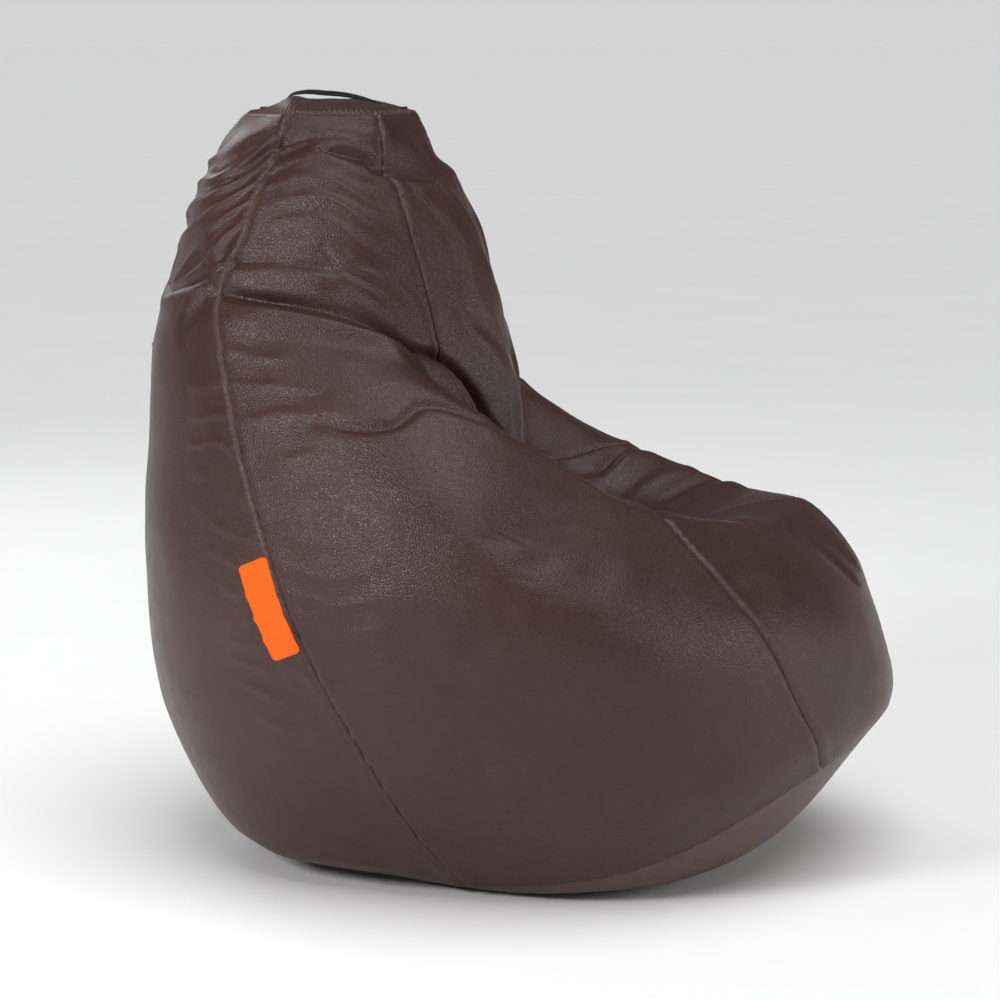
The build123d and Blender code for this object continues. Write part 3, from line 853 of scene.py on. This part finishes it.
# %% Follow the cover from inside
INNER_ROWS = [6, 10, 14, 12, 16, 13, 13, 14, 11, 9]
INNER_COLUMNS = np.arange(144) / 12
inner_levels = stepped([5, 10, *INNER_ROWS])
inner_plain = np.concatenate([skin(BASE_RINGS, inner_levels[:15], INNER_COLUMNS),
                              skin(GORE_RINGS, inner_levels[15:] - 2, INNER_COLUMNS)])
inner_out = normals(inner_plain)
folded = drawn_folds(inner_plain, inner_out)
folded[15:] += read_settled(inner_levels[15:] - 2, INNER_COLUMNS)
pressed = np.minimum((folded * inner_out).sum(-1), 0)
for _ in range(3):
    sides = np.roll(pressed, 1, 1) + np.roll(pressed, -1, 1)
    ends = np.vstack([pressed[:1], pressed[:-1]]) + np.vstack([pressed[1:], pressed[-1:]])
    pressed = np.minimum(pressed, (sides + ends) / 4)


def inside(depth, seed, lump):
    """A grid `depth` below the cover, with soft lumps."""
    lumps = lump * bumps(inner_plain, 0.05, seed)
    grid = inner_plain + inner_out * (1.1 * pressed - depth - 2 * MM + lumps)[..., None]
    grid[..., 2] = np.clip(grid[..., 2], depth, CAP_Z - depth)
    return grid


def capped_solid(name, grid, **words):
    """A closed body from a grid whose columns close, with a fan over each end."""
    rows, columns = grid.shape[:2]
    points = np.concatenate([grid.reshape(-1, 3), [grid[0].mean(0)], [grid[-1].mean(0)]])
    j = np.arange(columns)
    k = (j + 1) % columns
    foot, head = np.full(columns, rows * columns), np.full(columns, rows * columns + 1)
    top = (rows - 1) * columns
    faces = grid_faces(rows, columns, closed=True, flip=True)
    faces += np.stack([foot, j, k], -1).tolist() + np.stack([head, top + k, top + j], -1).tolist()
    return new_mesh(name, points, faces, **words)


beads = capped_solid("beads", inside(14.5 * MM, 41, 1.2 * MM), replaces=["bead_fill"], slot="beads")
print("beads", len(beads.data.polygons), "faces")

# %% [markdown]
# The sack is two side halves, a round base and a small top, sewn like the cover but with
# plain seams. Each is a thin closed sheet just outside the beads. None of it is seen unless
# the cover is taken off or cut open, so it gets no folds of its own.

# %% The liner sack in four pieces
LINER_END, LINER_CLOTH_THICK = 0.9 * MM, 0.6 * MM
liner_out, liner_in = inside(10.6 * MM, 42, 1.0 * MM), inside(11.3 * MM, 42, 1.0 * MM)
liner_pieces = []
half_turn = len(INNER_COLUMNS) // 2
for side, name in enumerate(("right", "left")):
    picked = range(side * half_turn, (side + 1) * half_turn + 1)
    pair = [np.take(grid, picked, 1, mode="wrap") for grid in (liner_out, liner_in)]
    points = np.array(pair)
    rows, columns = points.shape[1:3]
    liner_pieces.append(new_mesh(f"liner_sack_{name}", points, slab_faces(rows, columns, flip=True),
                                 replaces=[f"liner_{name}_half"], slot="liner_cloth"))
for row, name, rise in ((0, "base", LINER_END), (-1, "top", -LINER_END)):
    ring = liner_in[row]
    centre = ring.mean(0)
    rings = centre + (ring - centre)[None] * np.linspace(0.08, 0.985, 12)[:, None, None]
    rings[..., 2] += rise + 0.3 * MM * bumps(rings, 0.03, 43)
    centre = centre + (0, 0, rise)
    liner_pieces.append(disc_sheet(f"liner_sack_{name}", centre, rings,
                                   lambda points: points - (0, 0, LINER_CLOTH_THICK),
                                   replaces=[f"liner_{name}"], slot="liner_cloth"))
print("liner", len(liner_pieces), "pieces")

# %% [markdown]
# ## Topstitching
# On the two rear side seams and round the cap the allowance is sewn down to one side, in
# two rows. Each stitch is a short thread that dips into the skin at both ends. One small
# spindle shape is copied along a line on the cover, so the stitches stay evenly spaced.


# %% Stitches
def spindle(length, radius, sides=6):
    """A thread between two needle holes: rings of points along x, and their faces."""
    along = np.array([-0.5, -0.36, 0, 0.36, 0.5])
    fat = np.array([0.35, 0.9, 1.0, 0.9, 0.35])
    turn = np.arange(sides) * 2 * np.pi / sides
    rings = np.stack([
        np.repeat(along * length, sides),
        (fat[:, None] * np.cos(turn)).ravel() * radius,
        (fat[:, None] * np.sin(turn)).ravel() * radius - np.repeat((1 - fat) * radius * 1.6, sides),
    ], -1)
    faces = grid_faces(len(along), sides, closed=True, flip=True)
    faces += [list(range(sides)), list(range((len(along) - 1) * sides, len(along) * sides))[::-1]]
    return rings, faces


def stitch_line(line, out, pitch=4.2 * MM, length=3.3 * MM, radius=0.42 * MM):
    """Stitches along a line of points on a surface: their points and faces."""
    travel = running(line[:, None], 0)[:, 0]
    places = np.arange(pitch, travel[-1] - pitch, pitch)

    def read(values, at):
        return np.stack([np.interp(at, travel, values[:, k]) for k in range(3)], -1)

    middles, ahead_of = read(line, places), read(line, places + 0.5 * length)
    behind = read(line, places - 0.5 * length)
    along = ahead_of - behind
    along /= np.linalg.norm(along, axis=-1, keepdims=True)
    up = read(out, places)
    up -= (up * along).sum(-1, keepdims=True) * along
    up /= np.linalg.norm(up, axis=-1, keepdims=True)
    side = np.cross(up, along)
    shape, shape_faces = spindle(length, radius)
    points = (middles[:, None] + shape[None, :, :1] * along[:, None]
              + shape[None, :, 1:2] * side[:, None] + shape[None, :, 2:] * up[:, None])
    faces = [[v + copy * len(shape) for v in face]
             for copy in range(len(places)) for face in shape_faces]
    return points.reshape(-1, 3), faces


def joined(parts):
    """Several (points, faces) pairs as one."""
    points, faces, start = [], [], 0
    for some_points, some_faces in parts:
        points.append(some_points)
        faces += [[v + start for v in face] for face in some_faces]
        start += len(some_points)
    return np.concatenate(points), faces


print("one stitch has", len(spindle(1, 1)[1]), "faces")

# %% [markdown]
# Each line of stitches runs at a fixed distance from its seam, which is read from the same
# distances that shaped the groove. The side seams and the cap have two rows each.


# %% Rows of topstitching
def beside_seam(gore, distance, from_left):
    """The line on a sewn gore at a distance from one seam, with its normals."""
    points, out, gap = sewn[gore]
    half = gap.shape[1] // 2
    picked = slice(0, half) if from_left else slice(half, None)
    line, up = [], []
    for row in range(12, len(points) - 4):
        order = np.argsort(gap[row, picked])
        gaps = gap[row, picked][order]
        line.append([np.interp(distance, gaps, points[row, picked, k][order]) for k in range(3)])
        up.append([np.interp(distance, gaps, out[row, picked, k][order]) for k in range(3)])
    return np.array(line), np.array(up)


STITCH_ROWS, CAP_STITCH_ROWS = (2.3 * MM, 6.8 * MM), (3.0 * MM, 9.0 * MM)
thread_pieces = []
for gore, from_left, name in ((2, True, "right"), (3, False, "left")):
    rows = [stitch_line(*beside_seam(gore, distance, from_left)) for distance in STITCH_ROWS]
    thread_pieces.append(new_mesh(f"side_seam_thread_{name}", *joined(rows), slot="thread"))
cap_rows = []
for gore in range(6):
    points, out, gap = sewn[gore]
    down = running(points[::-1], 0)
    for distance in CAP_STITCH_ROWS:
        line = [[np.interp(distance, down[:, j], points[::-1, j, k]) for k in range(3)]
                for j in range(points.shape[1])]
        cap_rows.append(stitch_line(np.array(line), out[-4]))
thread_pieces.append(new_mesh("cap_seam_thread", *joined(cap_rows), slot="thread"))
print("thread", [len(piece.data.polygons) for piece in thread_pieces], "faces")

# %% [markdown]
# ## Label
# The label is a soft woven patch, sewn flat on the back right gore with one long edge on
# the seam. It is laid on the finished cover, so that it follows every dent, and it carries
# only a stitched border.

# %% Label
LABEL_SIZE, LABEL_CORNER, LABEL_TOP = (112 * MM, 44 * MM), 6 * MM, 408 * MM
LABEL_THICK, LABEL_EDGE, LABEL_LIFT = 0.9 * MM, 2.5 * MM, 0.5 * MM
BESIDE_GORE = 60  # columns of the next gore, so that the seam is inside the ground
ground_points = plain[:, 2 * GORE_STEP - BESIDE_GORE : 3 * GORE_STEP]
ground = BVHTree.FromPolygons(ground_points.reshape(-1, 3).tolist(),
                              grid_faces(len(LEVELS), GORE_STEP + BESIDE_GORE))
cover_tree = BVHTree.FromObject(gore_pieces["back_right_panel"],
                                bpy.context.evaluated_depsgraph_get())
seam_line = sewn[2][0][:, 0]
seam_top = np.array([np.interp(LABEL_TOP, seam_line[:, 2], seam_line[:, k]) for k in range(3)])
low_end = LABEL_TOP - 0.97 * LABEL_SIZE[0]
seam_foot = np.array([np.interp(low_end, seam_line[:, 2], seam_line[:, k]) for k in range(3)])
label_down = (seam_foot - seam_top) / np.linalg.norm(seam_foot - seam_top)
hit = ground.find_nearest(Vector(seam_top + label_down * 0.05 + (0.02, 0.03, 0)))
label_out = np.array(hit[1]) * np.sign(np.dot(hit[1], (-1, 0.4, 0)))
label_out -= label_down * (label_out @ label_down)
label_out /= np.linalg.norm(label_out)
label_across = np.cross(label_out, label_down)
label_across *= np.sign(label_across[1])
print("label lies along", [round(float(c), 2) for c in label_down])

# %% [markdown]
# A ray from each point of the flat patch finds the cover under it. A few rounds of
# smoothing then let the patch bridge small dents, as a stiff woven label does.

# %% Lay the label on the cover
LABEL_ROWS, LABEL_COLUMNS, SMOOTHING = 57, 23, 6
steps_down, steps_across = np.linspace(0, 1, LABEL_ROWS), np.linspace(0, 1, LABEL_COLUMNS)
label_points = np.zeros((LABEL_ROWS, LABEL_COLUMNS, 3))
for i, a in enumerate(steps_down):
    length = a * LABEL_SIZE[0]
    for j, c in enumerate(steps_across):
        width = c * LABEL_SIZE[1]
        # The four corners are drawn in to a quarter circle.
        u = min(length, LABEL_SIZE[0] - length)
        start = seam_top + label_down * length + label_across * (width + LABEL_EDGE)
        if u < LABEL_CORNER:
            pull = LABEL_CORNER - math.sqrt(max(LABEL_CORNER**2 - (LABEL_CORNER - u) ** 2, 0))
            centre = (seam_top + label_down * length
                      + label_across * (LABEL_SIZE[1] / 2 + LABEL_EDGE))
            start = centre + (start - centre) * (1 - 2 * pull / LABEL_SIZE[1])
        found = cover_tree.ray_cast(Vector(start + label_out * 0.05), Vector(-label_out), 0.12)
        label_points[i, j] = found[0] if found[0] else start
for _ in range(SMOOTHING):
    mean = (label_points[:-2, 1:-1] + label_points[2:, 1:-1]
            + label_points[1:-1, :-2] + label_points[1:-1, 2:]) / 4
    height = ((mean - label_points[1:-1, 1:-1]) @ label_out)[..., None]
    label_points[1:-1, 1:-1] += label_out * height * 0.7
rim_gap = np.minimum(np.minimum(steps_down, 1 - steps_down)[:, None] * LABEL_SIZE[0],
                     np.minimum(steps_across, 1 - steps_across)[None, :] * LABEL_SIZE[1])
BORDER = 2.6 * MM
hem = 0.25 * MM * np.exp(-(((rim_gap - BORDER) / (1.1 * MM)) ** 2))
label_top = label_points + label_out * (LABEL_LIFT + LABEL_THICK - hem)[..., None]
label_low = label_points + label_out * 0.4 * MM
side_label = new_mesh("label_patch", [label_top, label_low], slab_faces(LABEL_ROWS, LABEL_COLUMNS),
                      replaces=["side_label"], slot="label_orange")
print("label", [round(float(c), 3) for c in label_top.reshape(-1, 3).min(0)])

# %% [markdown]
# One row of stitches goes round the label, a little way in from its edge, and sinks into a
# shallow hem line.

# %% Stitched border
low_i, low_j = 1 + int(BORDER / LABEL_SIZE[0] * 56), 1 + int(BORDER / LABEL_SIZE[1] * 22)
high_i, high_j = LABEL_ROWS - 1 - low_i, LABEL_COLUMNS - 1 - low_j
loop = ([(i, low_j) for i in range(low_i, high_i)] + [(high_i, j) for j in range(low_j, high_j)]
        + [(i, high_j) for i in range(high_i, low_i, -1)]
        + [(low_i, j) for j in range(high_j, low_j, -1)])
loop.append(loop[0])
border_line = np.array([label_top[i, j] for i, j in loop])
border_up = np.repeat(label_out[None], len(loop), 0)
border_stitches = stitch_line(border_line, border_up, 3.0 * MM, 2.3 * MM, 0.3 * MM)
label_thread = new_mesh("label_thread", *border_stitches, slot="label_orange")
print("border", len(label_thread.data.polygons), "faces")

# %% [markdown]
# ## Carry handle
# A length of black polypropylene webbing runs over the cap, sewn down at both ends with
# close bars of thread. Between them it stands up in a low arch, stiff enough to hold its
# shape. The arch swings with the hand while its ends stay sewn, so it bends between the two.

# %% Webbing
WEB_WIDTH, WEB = 22 * MM, 1.6 * MM
# (ahead, up) stops in the middle plane, in millimetres.
ARCH = [(-152.5, 889.8), (-170, 895), (-187, 898.4), (-212, 900.8), (-238, 901.8),
        (-251, 899), (-259.5, 891.5)]
FRONT_END = [(-116, 883.9), (-134, 883.9), (-144, 885.6), (-151.5, 889.2)]
REAR_END = [(-262, 889.2), (-264.5, 885.2), (-271, 883.9), (-288, 883.9)]


def webbing(name, route, body, node, roll=0.0, pieces_across=22):
    """Flat webbing along a route in the middle plane of the chair."""
    stops = np.array([(0, -ahead, up) for ahead, up in route]) * MM
    line = curve_at(stops, np.linspace(0, len(stops) - 1, 14 * (len(stops) - 1) + 1))
    along = np.gradient(line, axis=0)
    along /= np.linalg.norm(along, axis=-1, keepdims=True)
    up = np.cross((1, 0, 0), along)
    up *= np.sign(up[:, 2].sum())
    across = np.linspace(-0.5, 0.5, pieces_across + 1) * WEB_WIDTH
    travel = running(line[:, None], 0)[:, 0]
    # Raised warp bands run along the webbing; the two selvedges are thinner.
    band = 0.10 * MM * np.cos(2 * np.pi * across / (2.75 * MM))
    selvedge = np.sqrt(np.maximum(1 - (abs(across) / (WEB_WIDTH / 2)) ** 14, 0))
    half = (WEB / 2 * (0.45 + 0.55 * selvedge) + band * selvedge)[None, :]
    half = half + 0.04 * MM * np.cos(2 * np.pi * travel / (2.2 * MM))[:, None]
    # A carried strap never lies flat: its middle rolls a little to one side.
    tilt = roll * np.sin(np.pi * travel / travel[-1]) ** 0.6
    sideways = np.cos(tilt)[:, None] * np.array([1.0, 0, 0]) + np.sin(tilt)[:, None] * up
    up = np.cross(sideways, along) * np.sign(np.cross((1, 0, 0), along)[:, 2].sum())
    middle = line[:, None] + across[None, :, None] * sideways[:, None]
    top = middle + up[:, None] * half[..., None]
    bottom = middle - up[:, None] * half[..., None]
    rows, columns = len(line), len(across)
    piece = new_mesh(name, [top, bottom], slab_faces(rows, columns), body=body,
                     replaces=[node], slot="webbing")
    return piece


print("webbing", WEB_WIDTH / MM, "mm wide")

# %% [markdown]
# The two sewn ends belong to the bag. The arch between them is made on the bag too, then
# taken off it and left free where it stands.

# %% Two ends and the arch
front_webbing = webbing("webbing_front_end", FRONT_END, "bag", "handle_front_end")
rear_webbing = webbing("webbing_rear_end", REAR_END, "bag", "handle_rear_end")
arch_webbing = webbing("webbing_arch", ARCH, "bag", "carry_handle", roll=0.22)
arch_webbing.parent = None
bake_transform(arch_webbing)
print("arch blended over", round((0.896 - 0.884) / MM), "mm of height")

# %% [markdown]
# A bar tack is a few dozen close zigzag stitches that hold a strap end down. Here each bar
# is a line of short thick stitches in two layers, widened along the strap.

# %% Bar tacks
TACK_WIDTH, TACK_APART, TACK_UP, TACK_WIDEN = 15 * MM, 4.5 * MM, 884.75 * MM, 4.2
TACK_LAYERS, TACK_LAYER = 2, 0.12 * MM
for name, node, middle_ahead in (("front_tack_thread", "front_bar_tacks", -123),
                                 ("rear_tack_thread", "rear_bar_tacks", -278)):
    bars = []
    for offset in (-TACK_APART, TACK_APART):
        place = np.array([0, -middle_ahead * MM + offset, TACK_UP])
        bar = np.array([place + ((k / 60 - 0.5) * TACK_WIDTH, 0, 0) for k in range(61)])
        points, faces = stitch_line(bar, np.tile((0, 0, 1.0), (61, 1)), 0.62 * MM,
                                    0.5 * MM, 0.3 * MM)
        widened = place + (points - place) * (1, TACK_WIDEN, 1)
        bars += [(widened + (0, 0, TACK_LAYER * layer), faces) for layer in range(TACK_LAYERS)]
    thread_pieces.append(new_mesh(name, *joined(bars), replaces=[node], slot="thread"))
print("tacks sewn")

# %% [markdown]
# ## Zip
# A nylon coil zip closes the lower back seam. Each half is one thread wound into a coil and
# sewn to a woven tape. The slider and the pull are hard parts with a fixed shape, so they
# stay as the frame has them and only get their metal finish.

# %% Coils and tapes
ZIP_DEPTH, COIL, COIL_SLIT, PITCH = 3.8 * MM, 2.4 * MM, 1.2 * MM, 1.5 * MM
coil_at = COIL_SLIT / 2 + COIL / 2


def zip_point(side, up, out):
    """A point of the zip from its sideways, upward and outward distances, in metres."""
    side, up, out = np.broadcast_arrays(side, up, out)
    return (ZIP_LOW + side[..., None] * np.array([-1.0, 0, 0])
            + up[..., None] * ZIP_UP + (out - ZIP_DEPTH)[..., None] * ZIP_OUT)


TURN_STEPS, TUBE_SIDES = 10, 6


def coil(sign):
    """One nylon thread wound along the zip, as a tube."""
    turns = int(ZIP_LENGTH / PITCH) - 1
    angle = np.linspace(0, turns * 2 * np.pi, turns * TURN_STEPS + 1)
    radius, thread = 0.85 * MM, 0.34 * MM
    up = 1.2 * MM + angle / (2 * np.pi) * PITCH
    path = zip_point(sign * (coil_at - 0.05 * MM + 0.95 * radius * np.cos(angle)), up,
                     radius * 0.95 * np.sin(angle))
    along = np.gradient(path, axis=0)
    along /= np.linalg.norm(along, axis=-1, keepdims=True)
    side = np.cross(along, ZIP_UP)
    side /= np.linalg.norm(side, axis=-1, keepdims=True)
    over = np.cross(along, side)
    around = np.arange(TUBE_SIDES) * 2 * np.pi / TUBE_SIDES
    tube = (path[:, None] + thread * (np.cos(around)[None, :, None] * side[:, None]
                                      + np.sin(around)[None, :, None] * over[:, None]))
    faces = grid_faces(len(path), TUBE_SIDES, closed=True)
    last = (len(path) - 1) * TUBE_SIDES
    faces += [list(range(TUBE_SIDES))[::-1], list(range(last, last + TUBE_SIDES))]
    return tube, faces


zip_pieces = []
for side_name, sign in (("right", 1), ("left", -1)):
    zip_pieces.append(new_mesh(f"zip_teeth_{side_name}", *coil(sign),
                               replaces=[f"zip_coil_{side_name}"], slot="zip_nylon"))
print("zip", round(ZIP_LENGTH / MM), "mm,", int(ZIP_LENGTH / PITCH), "turns a side")

# %% [markdown]
# Each tape is a thin woven strip, sewn to the gore behind the slit and longer than the coil
# at both ends. Its fine ribs run along it.

# %% Tapes
tape_pieces = []
TAPE_WIDTH, TAPE, SLOT_END = 12 * MM, 0.6 * MM, 7.6 * MM
TAPE_ROWS, TAPE_COLUMNS = 180, 17
for side_name, sign in (("right", 1), ("left", -1)):
    near = COIL_SLIT / 2 + COIL + 0.08 * MM
    across = near + np.linspace(0, 1, TAPE_COLUMNS) * (TAPE_WIDTH - 0.1 * MM)
    up = np.linspace(-SLOT_END, ZIP_LENGTH + SLOT_END, TAPE_ROWS)
    rib = 0.06 * MM * np.cos(2 * np.pi * across / (1.5 * MM))[None, :]
    top, low = (zip_point(sign * across[None, :], up[:, None], face * (TAPE / 2 + rib))
                for face in (1, -1))
    tape = new_mesh(f"zip_cloth_{side_name}", [top, low],
                    slab_faces(TAPE_ROWS, TAPE_COLUMNS, flip=sign > 0),
                    replaces=[f"zip_tape_{side_name}"], slot="zip_tape")
    tape_pieces.append(tape)
print("tapes", round(float(up[-1] - up[0]) / MM), "mm long")

# %% [markdown]
# ## Finishes of the small parts
# Webbing shows its weave as crossing ridges, tape as a finer rib, thread as a tight twist,
# nylon as a soft shine and the slider as brushed metal. Each is a pattern in object
# coordinates, at the size that it has on the real thing.


# %% Woven and sewn finishes
def woven(name, dark, light, warp, weft, turn, roughness, height):
    """Cloth from two crossing sets of threads; warp and weft are threads per metre."""
    made, nodes, links, shader = material(name)
    where = placed(nodes, links, turn=turn)
    first = texture(nodes, links, "ShaderNodeTexWave", where, "Fac", bands_direction="X",
                    Scale=warp * 0.314, Distortion=0.6, Detail=1)
    second = texture(nodes, links, "ShaderNodeTexWave", where, "Fac", bands_direction="Y",
                     Scale=weft * 0.314, Distortion=0.6, Detail=1)
    cloth = blend_of(nodes, links, "MULTIPLY", first, second)
    fuzz = texture(nodes, links, "ShaderNodeTexNoise", where, "Fac", Scale=900, Detail=3)
    mixed = blend_of(nodes, links, "ADD", blend_of(nodes, links, "MULTIPLY", cloth, 0.7),
                     blend_of(nodes, links, "MULTIPLY", fuzz, 0.3))
    links.new(ramp(nodes, links, mixed, [(0.15, dark), (0.75, light)]), shader.inputs["Base Color"])
    links.new(spread(nodes, links, fuzz, 0, 1, roughness - 0.08, roughness + 0.1),
              shader.inputs["Roughness"])
    shader.inputs["Specular IOR Level"].default_value = 0.15
    shader.inputs["Sheen Weight"].default_value = 0.02
    shader.inputs["Sheen Roughness"].default_value = 0.4
    bump(nodes, links, shader, mixed, height, 0.8)
    return made


print("a weave needs its threads per metre")

# %% [markdown]
# Four cloths use it: coarse black webbing, brown zip tape, white cotton for the sack, and
# the finer orange weave of the label.

# %% Four cloths
WEBBING = woven("black_webbing", (0.003, 0.003, 0.0035), (0.013, 0.013, 0.014), 1400, 900,
                (0, 0, 0), 0.72, 0.0004)
TAPE_CLOTH = woven("zip_tape_cloth", (0.018, 0.010, 0.008), (0.05, 0.03, 0.026), 2200, 1800,
                   (math.pi / 2, 0, 0), 0.7, 0.0002)
LINER_CLOTH = woven("liner_cotton", (0.45, 0.43, 0.40), (0.72, 0.70, 0.66), 1500, 1500,
                    (math.pi / 2, 0, 0), 0.85, 0.0003)
LABEL_CLOTH = woven("orange_label", (0.78, 0.105, 0.004), (0.93, 0.155, 0.006), 2600, 2600,
                    (math.pi / 2, 0, math.pi / 2), 0.55, 0.00012)
print("cloths", [made.name for made in (WEBBING, TAPE_CLOTH, LINER_CLOTH, LABEL_CLOTH)])

# %% [markdown]
# Thread is smooth and twisted, so its pattern is one slanting wave. Nylon and metal have
# no weave: a mottled tone and a gloss that varies with it are enough at their size. The beads
# are round cells, light in the middle, with painted shade darkening each towards its edge.


# %% Thread, nylon, metal and beads
def twisted_thread(name, colour, light):
    """Sewing thread: fine slanting plies."""
    made, nodes, links, shader = material(name)
    where = placed(nodes, links, turn=(0.7, 0.4, 0.8))
    plies = texture(nodes, links, "ShaderNodeTexWave", where, "Fac", Scale=900, Distortion=2)
    links.new(ramp(nodes, links, plies, [(0.2, colour), (0.8, light)]), shader.inputs["Base Color"])
    shader.inputs["Roughness"].default_value = 0.5
    bump(nodes, links, shader, plies, 0.0001, 0.6)
    return made


BROWN_THREAD = twisted_thread("brown_thread", (0.03, 0.016, 0.012), (0.085, 0.05, 0.042))
ORANGE_THREAD = twisted_thread("orange_thread", (0.62, 0.08, 0.006), (0.9, 0.2, 0.03))


def worn_gloss(name, colour, light, metallic, low, high, scale):
    """Nylon, metal or beads: a mottled tone with a gloss that varies over it."""
    made, nodes, links, shader = material(name)
    where = placed(nodes, links)
    spots = texture(nodes, links, "ShaderNodeTexNoise", where, "Fac", Scale=scale, Detail=4)
    links.new(ramp(nodes, links, spots, [(0.3, colour), (0.7, light)]), shader.inputs["Base Color"])
    links.new(spread(nodes, links, spots, 0.2, 0.8, low, high), shader.inputs["Roughness"])
    shader.inputs["Metallic"].default_value = metallic
    bump(nodes, links, shader, spots, 0.00008, 0.5)
    return made


ZIP_NYLON = worn_gloss("zip_nylon", (0.02, 0.011, 0.009), (0.04, 0.023, 0.019), 0, 0.25, 0.45, 600)
ZIP_METAL = worn_gloss("brushed_metal", (0.30, 0.29, 0.27), (0.48, 0.47, 0.45), 1, 0.22, 0.42, 420)


def foam_beads():
    """White beads: round cells three to six millimetres across, with painted shade darkening each
    towards its edge.
    """
    made, nodes, links, shader = material("foam_beads")
    where = placed(nodes, links)
    cells = texture(nodes, links, "ShaderNodeTexVoronoi", where, "Distance", Scale=210)
    # Light at each bead's middle and darker towards its edge: painted shade between the beads.
    links.new(ramp(nodes, links, cells, [(0.0, (0.86, 0.86, 0.84)), (0.6, (0.5, 0.5, 0.48))]),
              shader.inputs["Base Color"])
    shader.inputs["Roughness"].default_value = 0.8
    bump(nodes, links, shader, blend_of(nodes, links, "SUBTRACT", 1.0, cells), 0.003, 1.0)
    return made


print("beads are about", round(1000 / 210, 1), "mm across")

# %% [markdown]
# The slider, the pull and the stops are the frame's own parts, so their finish goes into
# their material slots. Everything else is a piece made above.


# %% Put the finishes on
def dress(made, *objects):
    for piece in objects:
        piece.data.materials.clear()
        piece.data.materials.append(made)


dress(WEBBING, front_webbing, rear_webbing, arch_webbing)
dress(TAPE_CLOTH, *tape_pieces)
dress(LINER_CLOTH, *liner_pieces)
dress(LABEL_CLOTH, side_label)
dress(ORANGE_THREAD, label_thread)
dress(BROWN_THREAD, *thread_pieces)
dress(ZIP_NYLON, *zip_pieces)
dress(foam_beads(), beads)
dress(ZIP_METAL, *[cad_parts[node] for node in
                   ("zip_slider", "zip_pull", "zip_top_stops", "zip_bottom_stop")])
print("finishes", len(bpy.data.materials))

# %% [markdown]
# ## Floor, light and camera
# A pale floor and large soft lights show a dark glossy skin best: each lamp is seen as a
# broad reflection, and that is what draws the folds. The camera stands at the sitter's
# right, a little above the seat, with a long lens so that the sides stay true.

# %% Floor
def pale_floor():
    made, nodes, links, shader = material("pale_floor")
    cloudy = texture(nodes, links, "ShaderNodeTexNoise", placed(nodes, links), "Fac", Scale=3)
    tint = ramp(nodes, links, cloudy, [(0.3, (0.93, 0.93, 0.93)), (0.7, (0.945, 0.945, 0.945))])
    links.new(tint, shader.inputs["Base Color"])
    shader.inputs["Roughness"].default_value = 0.7
    return made


FLOOR_HALF = 300.0
floor_mesh = bpy.data.meshes.new("floor")
corners = [(-1, -1), (1, -1), (1, 1), (-1, 1)]
floor_mesh.from_pydata([(x * FLOOR_HALF, y * FLOOR_HALF, -0.0005) for x, y in corners], [],
                       [(0, 1, 2, 3)])
floor = bpy.data.objects.new("floor", floor_mesh)
bpy.context.collection.objects.link(floor)
floor_mesh.materials.append(pale_floor())
print("floor", FLOOR_HALF * 2, "m across")

# %% [markdown]
# The key lamp stands behind the sitter's right shoulder and gives the broad shine on the
# side. A front lamp opens the seat, a small one draws the far edge, and an overcast sun
# fills in from above. Dark walls above a pale horizon keep the brown from going grey.

# %% Lights
SEAT_MIDDLE = Vector((0, 0, 0.45))


def soft_light(name, place, size, power, tint=(1, 1, 1)):
    """A large square lamp that faces the middle of the seat."""
    lamp = bpy.data.lights.new(name, "AREA")
    lamp.shape, lamp.size, lamp.energy, lamp.color = "SQUARE", size, power, tint
    holder = bpy.data.objects.new(name, lamp)
    bpy.context.collection.objects.link(holder)
    holder.location = place
    holder.rotation_euler = (SEAT_MIDDLE - Vector(place)).to_track_quat("-Z", "Y").to_euler()


soft_light("key_light", (-2.1, 2.3, 1.7), 0.9, 62)
soft_light("front_light", (-1.0, -3.0, 1.0), 1.1, 28)
soft_light("rear_light", (2.4, 1.6, 2.0), 1.2, 14)
sky = bpy.data.lights.new("ceiling_light", "SUN")
sky.energy, sky.angle = 2.0, math.radians(50)
ceiling = bpy.data.objects.new("ceiling_light", sky)
bpy.context.collection.objects.link(ceiling)
ceiling.rotation_euler = (math.radians(8), math.radians(-14), 0)

world = bpy.data.worlds.new("studio")
bpy.context.scene.world = world
world.use_nodes = True
nodes, links = world.node_tree.nodes, world.node_tree.links
facing = nodes.new("ShaderNodeTexCoord")
parts = nodes.new("ShaderNodeSeparateXYZ")
links.new(facing.outputs["Generated"], parts.inputs["Vector"])
# Pale where it meets the floor, and dimmer above, so that the dark skin keeps its colour.
wall = ramp(nodes, links, parts.outputs["Z"],
            [(0.0, (0.66, 0.66, 0.66)), (0.02, (0.65, 0.65, 0.65)),
             (0.10, (0.16, 0.16, 0.165)), (1.0, (0.14, 0.14, 0.145))])
links.new(wall, nodes["Background"].inputs["Color"])
nodes["Background"].inputs["Strength"].default_value = 1.0
bpy.context.scene.view_settings.view_transform = "Standard"

# %% [markdown]
# The camera looks at the chair from the sitter's right and stands a little higher than the
# seat. Its long lens, from three and a half metres, keeps the outline almost free of
# perspective.

# %% Camera
TARGET = Vector((0, 0.007, 0.417))
DISTANCE, ELEVATION = 3.5, math.radians(9)
camera = bpy.data.objects.new("camera", bpy.data.cameras.new("camera"))
bpy.context.collection.objects.link(camera)
camera.location = TARGET + DISTANCE * Vector((-math.cos(ELEVATION), 0, math.sin(ELEVATION)))
camera.rotation_euler = (TARGET - camera.location).to_track_quat("-Z", "Y").to_euler()
camera.data.lens, camera.data.sensor_width = 105, 36
bpy.context.scene.camera = camera
print("camera", tuple(round(c, 3) for c in camera.location))
